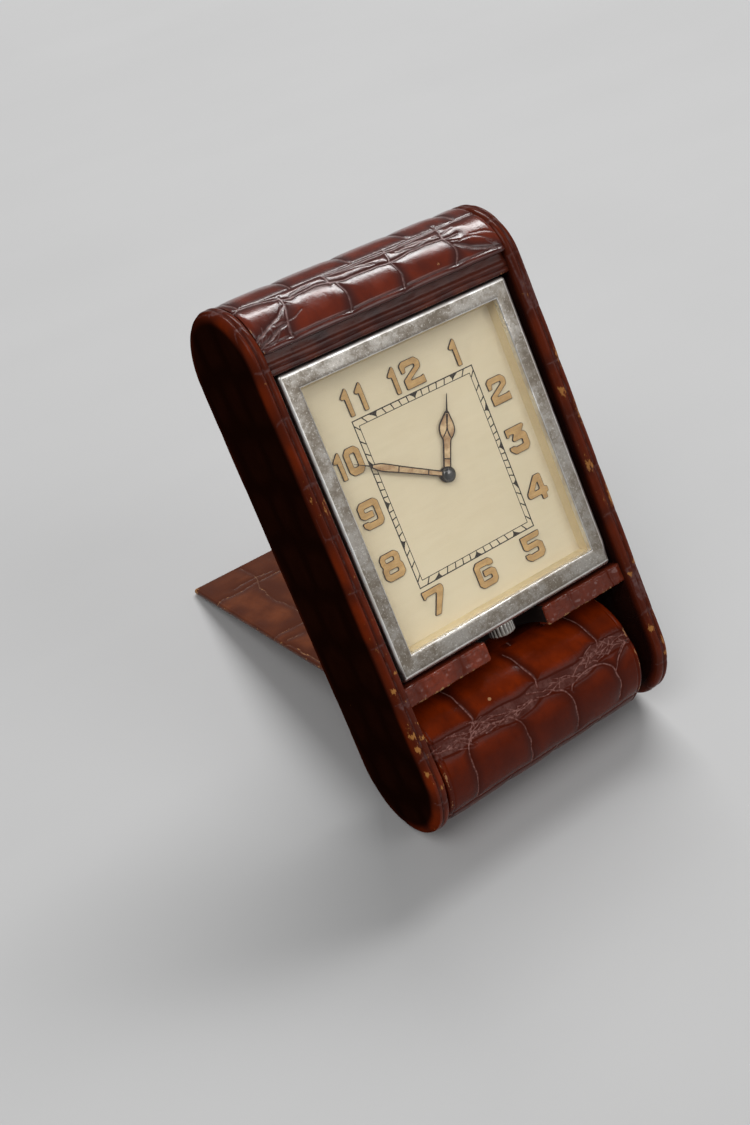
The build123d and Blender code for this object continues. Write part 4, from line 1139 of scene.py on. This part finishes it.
bezel_section = [
    (0.8, 7.5), (0.0, 7.6), (0.0, 11.9), (0.03, 12.15), (0.12, 12.37), (0.26, 12.53), (0.44, 12.63),
    (0.65, 12.68), (0.9, 12.70), (1.4, 12.69), (2.4, 12.68), (3.2, 12.67), (3.8, 12.65),
    (3.96, 12.6), (4.03, 12.5), (4.06, 12.3), (4.06, 12.02), (4.06, 10.75)]
flat_from, flat_to = 8, 12
rings = []
for inset, out in bezel_section:
    shape = rectangle(bezel_half_wide - inset, bezel_half_high - inset, max(0.9 - inset, 0.06))
    near_foot = ease(-shape[:, 1], 30, 33)
    foot = -1.15 * max(1 - inset / 2.0, 0) * near_foot
    lowered = out - 1.3 * max(1 - inset / 1.0, 0) ** 2 * near_foot
    out_at = np.where(out > 11, lowered, out)
    rings.append(place(shape[:, 0], dial_up + shape[:, 1] + foot, out_at))
rings = np.stack(rings + [rings[0]])
number = np.arange(len(rings))[:, None]
flat_part = np.where((number >= flat_from) & (number <= flat_to), 1.0, 0.0)
uneven = value_field(rings[..., 0] * 1e3, rings[..., 2] * 1e3, 3.0, 121) - 0.5
rings = rings + (0.00004 * flat_part * uneven)[..., None] * out_of_dial
print("the bezel is", len(rings), "rings of", rings.shape[1], "points")


# %% The bezel's mesh
def weld(shell, mesh, sharp):
    """Joins points that meet, turns every face outwards, and writes the shell into a mesh that is
    smooth except at corners sharper than so many degrees."""
    bmesh.ops.remove_doubles(shell, verts=shell.verts, dist=1e-7)
    bmesh.ops.recalc_face_normals(shell, faces=shell.faces)
    shell.to_mesh(mesh)
    shell.free()
    mesh.polygons.foreach_set("use_smooth", np.ones(len(mesh.polygons), bool))
    mesh.set_sharp_from_angle(angle=np.radians(sharp))


def tube_mesh(name, rings, sharp):
    """Rings closed on themselves both ways: the last ring is the first one again."""
    mesh = ring_mesh(name, rings)
    shell = bmesh.new()
    shell.from_mesh(mesh)
    ends = [face for face in shell.faces if len(face.verts) == rings.shape[1]]
    bmesh.ops.delete(shell, geom=ends, context="FACES_ONLY")
    weld(shell, mesh, sharp)
    return mesh


bezel_mesh = tube_mesh("bezel_frame", rings, 40)
add_piece(bezel_mesh, old_nickel, "case", "bezel", second=bright_nickel)
strip = np.arange(len(rings) - 1)
polished = np.repeat((strip < flat_from) | (strip >= flat_to), rings.shape[1])
bezel_mesh.polygons.foreach_set("material_index", polished.astype(np.int32))

# %% [markdown]
# ## The crown
# A little fluted winder under the bezel. Its radius waves twenty times round, less and less towards
# the polished button at its foot.

# %% The crown
turn = np.linspace(0, 2 * np.pi, 241)[:-1]
crown_up = np.array([
    20.6, 20.55, 20.4, 20.2, 19.6, 19.0, 18.4, 18.1, 17.9, 17.7, 17.5, 17.38, 17.32, 17.3])
crown_reach = np.array([2.6, 2.9, 3.1, 3.3, 3.3, 3.3, 3.3, 3.3, 3.27, 3.18, 3.0, 2.7, 2.2, 0.6])
flute_depth = np.array([0, 0.05, 0.15, 0.26, 0.28, 0.28, 0.28, 0.26, 0.2, 0.08, 0, 0, 0, 0])
wave = np.abs(np.sin(10 * turn)) ** 0.6 - 1
radius = crown_reach[:, None] + flute_depth[:, None] * wave[None]
out = stem_out + radius * np.sin(turn)
rings = place(radius * np.cos(turn), crown_up[:, None] + 0 * radius, out)
add_piece(ring_mesh("crown_button", rings, sharp=50), crown_nickel, "crown_body", "crown")

# %% [markdown]
# ## Flat shapes with a rounded rim
# Numerals and hands are cut from sheet. A flat filled curve with a little thickness and bevel makes
# such a piece directly, holes included; it is turned to a mesh and then stood up on the dial.

# %% Cut shapes
def rounded(points, radius, steps=4):
    """Every corner replaced by a small curve: the quadratic through points set back from it."""
    points = np.asarray(points, float)
    before, after = np.roll(points, 1, 0) - points, np.roll(points, -1, 0) - points
    long_before, long_after = np.hypot(*before.T), np.hypot(*after.T)
    cut = np.minimum(radius, 0.45 * np.minimum(long_before, long_after))
    start = points + before * (cut / long_before)[:, None]
    end = points + after * (cut / long_after)[:, None]
    t = np.linspace(0, 1, steps)[None, :, None]
    curve = (1 - t) ** 2 * start[:, None] + 2 * t * (1 - t) * points[:, None] + t**2 * end[:, None]
    return curve.reshape(-1, 2)


def cut_sheet(name, outlines, low, high, bevel, turn=0.0, swell=0.0):
    """A flat curve filled between outlines, thick from low to high out of the dial, turned
    clockwise. The curve's own bevel rounds the rims, and swell makes it larger or smaller."""
    curve = bpy.data.curves.new(name, "CURVE")
    curve.dimensions = "2D"
    curve.fill_mode = "BOTH"
    curve.extrude = (high - low) / 2 - bevel
    curve.bevel_depth = bevel
    curve.bevel_resolution = 2
    curve.offset = swell - bevel
    for outline in outlines:
        spline = curve.splines.new("POLY")
        spline.points.add(len(outline) - 1)
        flat = np.column_stack([outline, np.zeros(len(outline)), np.ones(len(outline))])
        spline.points.foreach_set("co", flat.astype(np.float32).ravel())
        spline.use_cyclic_u = True
    shape = bpy.data.objects.new(name, curve)
    bpy.context.scene.collection.objects.link(shape)
    bpy.context.view_layer.update()
    mesh = bpy.data.meshes.new_from_object(shape)
    bpy.data.objects.remove(shape)
    flat = np.zeros(len(mesh.vertices) * 3, np.float32)
    mesh.vertices.foreach_get("co", flat)
    x, y, z = flat.reshape(-1, 3).T.astype(float)
    c, s = np.cos(turn), np.sin(turn)
    stood = place(x * c + y * s, dial_up + y * c - x * s, (low + high) / 2 + z)
    mesh.vertices.foreach_set("co", stood.astype(np.float32).ravel())
    mesh.name = name
    sheet = bmesh.new()
    sheet.from_mesh(mesh)
    weld(sheet, mesh, 35)
    return mesh


def joined(name, meshes):
    """Several meshes made one."""
    together = bmesh.new()
    for mesh in meshes:
        together.from_mesh(mesh)
        bpy.data.meshes.remove(mesh)
    mesh = bpy.data.meshes.new(name)
    together.to_mesh(mesh)
    together.free()
    mesh.set_sharp_from_angle(angle=np.radians(35))
    return mesh


# %% [markdown]
# ## Numerals
# Raised numerals with clipped corners: a dark cut plate on the dial, filled with luminous paint that
# stands a little proud. Each figure is one outline in its own box, then moved to its hour.

# %% Figures
one = [
    (0, 0), (1.15, 0), (1.2, 5.6), (1.0, 6.15), (0.7, 6.2), (-0.75, 4.75), (-0.95, 4.3),
    (-0.45, 3.9), (0, 4.0)]
two = [
    (0.1, 0), (5.3, 0), (5.25, 1.98), (4.55, 1.72), (1.75, 1.74), (5.1, 3.6), (5.3, 4.4),
    (5.25, 5.2), (4.3, 6.18), (0.9, 6.18), (0.05, 5.5), (0.15, 3.55), (1.15, 3.6), (1.35, 4.66),
    (3.7, 4.7), (3.75, 4.25), (0.05, 2.2)]
three = [
    (0.1, 6.1), (5.2, 6.1), (5.5, 5.5), (4.4, 4.45), (5.1, 4.15), (5.5, 3.5), (5.5, 1.0), (4.5, 0),
    (1.0, 0), (-0.15, 1.1), (-0.15, 2.0), (1.3, 2.0), (1.6, 1.65), (3.8, 1.7), (3.85, 2.75),
    (1.6, 2.75), (1.25, 3.3), (2.1, 4.5), (1.0, 4.5), (0.7, 4.1), (0.1, 4.1)]
four = [
    (3.1, 6.1), (4.75, 6.1), (5.05, 5.7), (5.05, 2.75), (5.75, 2.6), (5.75, 1.3), (5.05, 1.25),
    (5.0, 0), (3.6, 0), (3.6, 1.25), (0.4, 1.25), (0, 1.7), (0, 2.6)]
four_eye = [(3.6, 4.4), (3.6, 2.65), (2.1, 2.65)]
five = [
    (0, 6.15), (5.5, 6.15), (5.4, 5.2), (4.9, 4.72), (1.5, 4.7), (1.5, 4.1), (4.4, 4.1), (5.5, 3.2),
    (5.5, 0.95), (4.5, 0), (1.0, 0), (-0.05, 1.0), (-0.05, 2.0), (1.3, 2.0), (1.6, 1.65),
    (3.85, 1.7), (3.85, 2.6), (0.8, 2.6), (0.05, 3.2)]
six = [
    (0.9, 6.15), (4.4, 6.15), (5.3, 5.3), (5.3, 4.3), (3.9, 4.3), (3.6, 4.6), (1.45, 4.6),
    (1.45, 1.6), (3.85, 1.6), (3.85, 2.35), (1.95, 2.35), (1.95, 3.85), (4.5, 3.85), (5.35, 3.1),
    (5.35, 0.9), (4.4, 0), (0.9, 0), (0, 0.9), (0, 5.25)]
seven = [
    (0, 6.2), (0.1, 4.35), (0.65, 4.3), (1.0, 4.75), (3.6, 4.75), (1.3, 0.1), (2.85, 0),
    (5.65, 4.85), (5.65, 5.7), (5.3, 6.2)]
eight = [
    (0.9, 6.15), (4.3, 6.15), (5.15, 5.3), (5.15, 4.0), (4.9, 3.4), (5.35, 2.8), (5.35, 0.9),
    (4.4, 0), (0.9, 0), (0, 0.9), (0, 2.8), (0.4, 3.4), (0.15, 3.9), (0.15, 5.3)]
eight_eyes = [
    [(1.5, 4.95), (3.6, 4.95), (3.6, 4.15), (1.5, 4.15)],
    [(1.45, 2.35), (3.75, 2.35), (3.75, 1.6), (1.45, 1.6)]]
nine = [(5.35 - x, 6.15 - y) for x, y in six]
nought = [
    (0.95, 6.15), (3.1, 6.15), (4.05, 5.1), (4.05, 1.0), (3.1, 0), (0.95, 0), (0, 1.0), (0, 5.1)]
nought_eye = [(1.42, 4.7), (2.63, 4.7), (2.63, 1.75), (1.42, 1.75)]
figures = (one, two, three, four, five, six, seven, eight, nine, nought)
print("ten figures with", sum(len(figure) for figure in figures), "corners")

# %% Setting the hours
hours = {
    "twelve": [((-3.80, 19.98), [one]), ((-1.27, 20.0), [two])],
    "one": [((12.84, 19.95), [one])],
    "two": [((17.6, 8.5), [two])],
    "three": [((17.6, -3.3), [three])],
    "four": [((17.4, -15.25), [four, four_eye])],
    "five": [((11.2, -26.7), [five])],
    "six": [((-2.55, -26.7), [six])],
    "seven": [((-16.75, -26.65), [seven])],
    "eight": [((-23.15, -15.2), [eight] + eight_eyes)],
    "nine": [((-23.2, -3.15), [nine])],
    "ten": [((-23.35, 8.5), [one]), ((-21.4, 8.5), [nought, nought_eye])],
    "eleven": [((-16.1, 19.95), [one]), ((-12.5, 19.95), [one])]}
plate_high, fill_low, fill_high = dial_out + 0.36, dial_out + 0.20, dial_out + 0.42
for hour, parts in hours.items():
    plates, fills = [], []
    for at, outlines in parts:
        moved = [rounded(outline, 0.32) + np.array(at) for outline in outlines]
        plates.append(cut_sheet("plate", moved, dial_out, plate_high, 0.03))
        fills.append(cut_sheet("fill", moved, fill_low, fill_high, 0.05, swell=-0.12))
    add_piece(joined(f"hour_{hour}_plate", plates), bronze, "case", finish="dial")
    add_piece(joined(f"hour_{hour}_paint", fills), lume, "case", finish="dial")

# %% [markdown]
# ## The minute track
# A double line ruled round the dial with sixty cross bars aimed at the centre, and a black wedge at
# every fifth. It is ink, so it stands only hundredths of a millimetre off the paint.

# %% Ruled bars
def flat_bar(name, path, across, half, low, high):
    """A closed bar along a path of points on the dial, so much to each side, from low to high."""
    left, right = path - across * half, path + across * half
    flat = np.stack([left, right, right, left], 1)
    out = np.broadcast_to([low, low, high, high], flat.shape[:2])
    return ring_mesh(name, place(flat[..., 0], dial_up + flat[..., 1], out))


def bars(name, starts, ends, half_start, half_end, low, high):
    """Straight bars from starts to ends as one mesh, narrowing from one half width to the other."""
    half = np.array([[half_start], [half_end]])
    meshes = []
    for start, end in zip(np.asarray(starts, float), np.asarray(ends, float)):
        aim = (end - start) / np.hypot(*(end - start))
        across = np.array([-aim[1], aim[0]])
        meshes.append(flat_bar("bar", np.stack([start, end]), across, half, low, high))
    return joined(name, meshes)


outer_half, inner_half = np.array([16.2, 19.28]), np.array([15.0, 17.88])
track_middle = np.array([-0.05, -0.22])


def on_frame(half, minute):
    """Where the ray from the hands' centre at this minute meets a rectangle round the dial."""
    aim = np.array([np.sin(minute * np.pi / 30), np.cos(minute * np.pi / 30)])
    side = np.where(aim > 0, track_middle + half, track_middle - half)
    reach = side / np.where(np.abs(aim) < 1e-9, 1e-9, aim)
    return aim * np.abs(reach).min()


fives = range(0, 60, 5)
singles = [minute for minute in range(60) if minute % 5]
ink_low, ink_high = dial_out - 0.01, dial_out + 0.015
single_out = [on_frame(outer_half, minute) for minute in singles]
single_in = [on_frame(inner_half, minute) for minute in singles]
minute_bars = bars("minute_bars", single_out, single_in, 0.15, 0.115, ink_low, ink_high)
add_piece(minute_bars, track_ink, "case", finish="dial")

# %% Wedges and ruled lines
def wedges(name, minutes, half_base):
    """Black marks whose base lies along the outer line, curving in to a point at the inner one:
    the half width falls as the square of the way still to go."""
    share = np.linspace(0, 1, 9)[:, None]
    half = half_base * (1 - share) ** 2.0 + 0.06
    meshes = []
    for minute in minutes:
        outer, inner = on_frame(outer_half, minute), on_frame(inner_half, minute)
        upright = abs(abs(outer[0] - track_middle[0]) - outer_half[0]) < 0.02
        base = np.array([0.0, 1.0]) if upright else np.array([1.0, 0.0])
        path = outer + share * (inner - outer)
        meshes.append(flat_bar("wedge", path, base, half, ink_low, ink_high + 0.003))
    return joined(name, meshes)


def ruled(name, half, width, overlap, high):
    """The four sides of a ruled rectangle, running a little past its corners."""
    corners = track_middle + half * np.array([(-1, -1), (1, -1), (1, 1), (-1, 1)])
    after = np.roll(corners, -1, 0)
    aim = (after - corners) / np.hypot(*(after - corners).T)[:, None]
    return bars(name, corners - aim * overlap, after + aim * overlap, width, width, ink_low, high)


outer_line = ruled("outer_line", outer_half, 0.13, 0.13, ink_high - 0.002)
inner_line = ruled("inner_line", inner_half, 0.09, 0.03, ink_high - 0.004)
for ink_mesh in (wedges("five_minute_wedges", fives, 1.25), outer_line, inner_line):
    add_piece(ink_mesh, track_ink, "case", finish="dial")

# %% [markdown]
# ## Hands
# Skeleton hands: a dark cut frame with luminous paint between its bars. The frame's shape is given as
# half widths along the hand; the paint fills the same shape, a little smaller and lower.

# %% Building a hand
def hand_outline(stations, shrink=0.0):
    """Both sides of a hand from its stations, softened, as one closed outline."""
    line = soften(stations, 3)
    width = np.maximum(line[:, 1] - shrink, 0.02)
    right_side = np.stack([width, line[:, 0]], -1)
    left_side = np.stack([-width[::-1], line[::-1, 0]], -1)
    return np.concatenate([right_side, left_side])


def hand_bars(name, lines, half, low, high, turn):
    """Bars of a hand's frame, ruled along lines in the hand's own measures, then turned."""
    c, s = np.cos(turn), np.sin(turn)
    starts, ends = [], []
    for line in lines:
        points = soften(line) if len(line) > 2 else np.asarray(line, float)
        across, along = points.T
        points = np.stack([across * c + along * s, along * c - across * s], -1)
        starts.append(points[:-1])
        ends.append(points[1:])
    return bars(name, np.concatenate(starts), np.concatenate(ends), half, half, low, high)


def make_hand(name, stations, inner_lines, tip, low, turn):
    """Paint plate and cut frame of one hand: rim bars follow the outline, others divide the paint,
    and a ring round the middle and a needle at the tip are cut from sheet."""
    body = name + "_body"
    paint = [hand_outline(stations, 0.10)]
    paint_mesh = cut_sheet(name + "_paint", paint, low + 0.03, low + 0.19, 0.02, turn)
    add_piece(paint_mesh, hand_lume, body, finish=name)
    outline = hand_outline(stations)
    rim = np.concatenate([outline, outline[:1]])
    frame_mesh = hand_bars(name + "_frame", [rim, *inner_lines], 0.12, low, low + 0.25, turn)
    needle = cut_sheet(name + "_needle", [hand_outline(tip)], low + 0.02, low + 0.22, 0.02, turn)
    ring = [corner((0, 0), 1.75, 0, 352, 40), corner((0, 0), 0.98, 0, 350, 30)]
    boss = cut_sheet(name + "_boss", ring, low, low + 0.24, 0.02, turn)
    add_piece(joined(name + "_frame", [frame_mesh, needle, boss]), bronze, body, name)


# %% The two hands, as places along a hand and half widths, and lines as places across and along
hour_stations = [
    (1.2, 0.80), (4.0, 0.82), (7.2, 0.85), (7.7, 1.0), (8.5, 1.62), (9.9, 1.98), (11.2, 1.6),
    (12.5, 0.85), (13.6, 0.3)]
hour_inner = [
    [(-0.17, 13.1), (0, 10.2)],
    [(0.17, 13.1), (0, 10.2)],
    [(0, 13.0), (0, 10.2)],
    [(0, 10.2), (-0.25, 9.2), (-0.95, 8.0)],
    [(0, 10.2), (0.25, 9.2), (0.95, 8.0)],
    [(-0.8, 3.4), (0.8, 3.4)]]
hour_tip = [(13.2, 0.35), (13.9, 0.17), (17.5, 0.06)]
make_hand("hour_hand", hour_stations, hour_inner, hour_tip, 8.95, np.radians(24.5))
minute_stations = [(1.2, 0.50), (5.0, 0.56), (12.0, 0.66), (16.4, 0.86), (17.6, 0.62), (19.2, 0.12)]
minute_inner = [[(-0.6, 5.1), (0.6, 5.1)], [(-0.7, 12.4), (0.7, 12.4)]]
minute_tip = [(18.6, 0.25), (19.4, 0.14), (23.0, 0.05)]
make_hand("minute_hand", minute_stations, minute_inner, minute_tip, 9.6, np.radians(298.7))

# %% [markdown]
# ## The hub
# A black domed nut holds the hands. Its radius follows a quarter turn down from the dome's top. Its
# black is a very dark metal, since only a metal mirrors the lamps as sharply as the real one does.

# %% The hub's dome
turn = np.linspace(0, 2 * np.pi, 65)[:-1]
fall = np.radians(np.linspace(4, 90, 12))
hub_radius, dome_foot, dome_height = 1.66, 9.88, 0.68
reach = np.concatenate([hub_radius * np.sin(fall), [hub_radius, 1.56, 1.2]])[:, None]
out = np.concatenate([dome_foot + dome_height * np.cos(fall), [9.70, 9.62, 9.60]])[:, None]
rings = place(reach * np.cos(turn), dial_up + reach * np.sin(turn), out + 0 * turn)
add_piece(ring_mesh("hub_dome", rings, sharp=60), cap_black, "minute_hand_body", "hand_cap")

# %% [markdown]
# ## Stage
# A pale floor under soft lamps. A long lamp high behind draws the highlight along the cap, a broad
# one overhead lights the dial, a smaller one in front gives the hub its glint, and a wide dim one
# low in front lifts the roll; the grey sky fills in.

# %% Floor
floor_lines = np.linspace(-10, 10, 6)
x, y = np.meshgrid(floor_lines, floor_lines, indexing="ij")
floor_points = np.stack([x, y, 0 * x], -1).reshape(-1, 3)
i, j = np.meshgrid(np.arange(5), np.arange(5), indexing="ij")
first = i * 6 + j
squares = np.stack([first, first + 6, first + 7, first + 1], -1).reshape(-1, 4)
floor_mesh = bpy.data.meshes.new("floor")
floor_mesh.from_pydata(floor_points.tolist(), [], squares.tolist())
floor_grey = plain_material("pale floor", (0.52, 0.52, 0.52), (0.50, 0.50, 0.50), 0.6, cloud=6.0,
                            fibre=20.0, bump=0.0)
floor_mesh.materials.append(floor_grey)
floor = bpy.data.objects.new("floor", floor_mesh)
bpy.context.scene.collection.objects.link(floor)
print("floor is", float(floor_lines[-1] - floor_lines[0]), "m wide")

# %% Lamps and sky
middle = place(0, 45, 0)


def lamp(name, direction, distance, width, height, watts):
    """A soft rectangular lamp that looks at the clock from the given direction."""
    light = bpy.data.lights.new(name, "AREA")
    light.shape = "RECTANGLE"
    light.size = width
    light.size_y = height
    light.energy = watts
    direction = np.array(direction, float) / np.linalg.norm(direction)
    side = np.cross((0, 0, 1), direction)
    side /= np.linalg.norm(side)
    over = np.cross(direction, side)
    turned = Matrix([[side[k], over[k], direction[k]] for k in range(3)]).to_4x4()
    turned.translation = middle + direction * distance
    holder = bpy.data.objects.new(name, light)
    holder.matrix_world = turned
    holder.visible_camera = False
    bpy.context.scene.collection.objects.link(holder)


lamp("window", (0.43, 0.50, 0.75), 3.0, 2.4, 0.48, 66.0)
lamp("overhead", (-0.50, -0.18, 0.84), 3.6, 2.0, 2.0, 44.0)
lamp("key", (0.39, -0.66, 0.64), 3.0, 1.3, 1.3, 12.0)
lamp("front", (0.43, -0.85, 0.36), 3.6, 3.6, 2.4, 9.0)
sky = bpy.data.worlds.new("sky")
sky.use_nodes = True
sky.node_tree.nodes["Background"].inputs["Color"].default_value = (0.80, 0.80, 0.80, 1)
sky.node_tree.nodes["Background"].inputs["Strength"].default_value = 0.24
bpy.context.scene.world = sky
print(len(bpy.data.lights), "lamps")

# %% [markdown]
# ## Camera
# It looks down on the clock from above its left shoulder, a third of a metre away, through a lens
# whose length is a little more than the height of its frame, which is close to what an eye takes in.

# %% Camera
eye = place(-147.3, 105.7, 263.9)
look = 0.4266 * to_right - 0.2053 * up_case - 0.8808 * out_of_dial
across = 0.7967 * to_right - 0.3757 * up_case + 0.4734 * out_of_dial
over = np.cross(across, look)
camera_data = bpy.data.cameras.new("camera")
camera_data.sensor_fit = "VERTICAL"
camera_data.sensor_height = 36.0
camera_data.lens = 44.04
camera = bpy.data.objects.new("camera", camera_data)
stand = Matrix([[across[k], over[k], -look[k]] for k in range(3)]).to_4x4()
stand.translation = eye
camera.matrix_world = stand
bpy.context.scene.collection.objects.link(camera)
bpy.context.scene.camera = camera
bpy.context.scene.view_settings.view_transform = "Standard"
print("camera at", [round(float(v), 4) for v in eye])
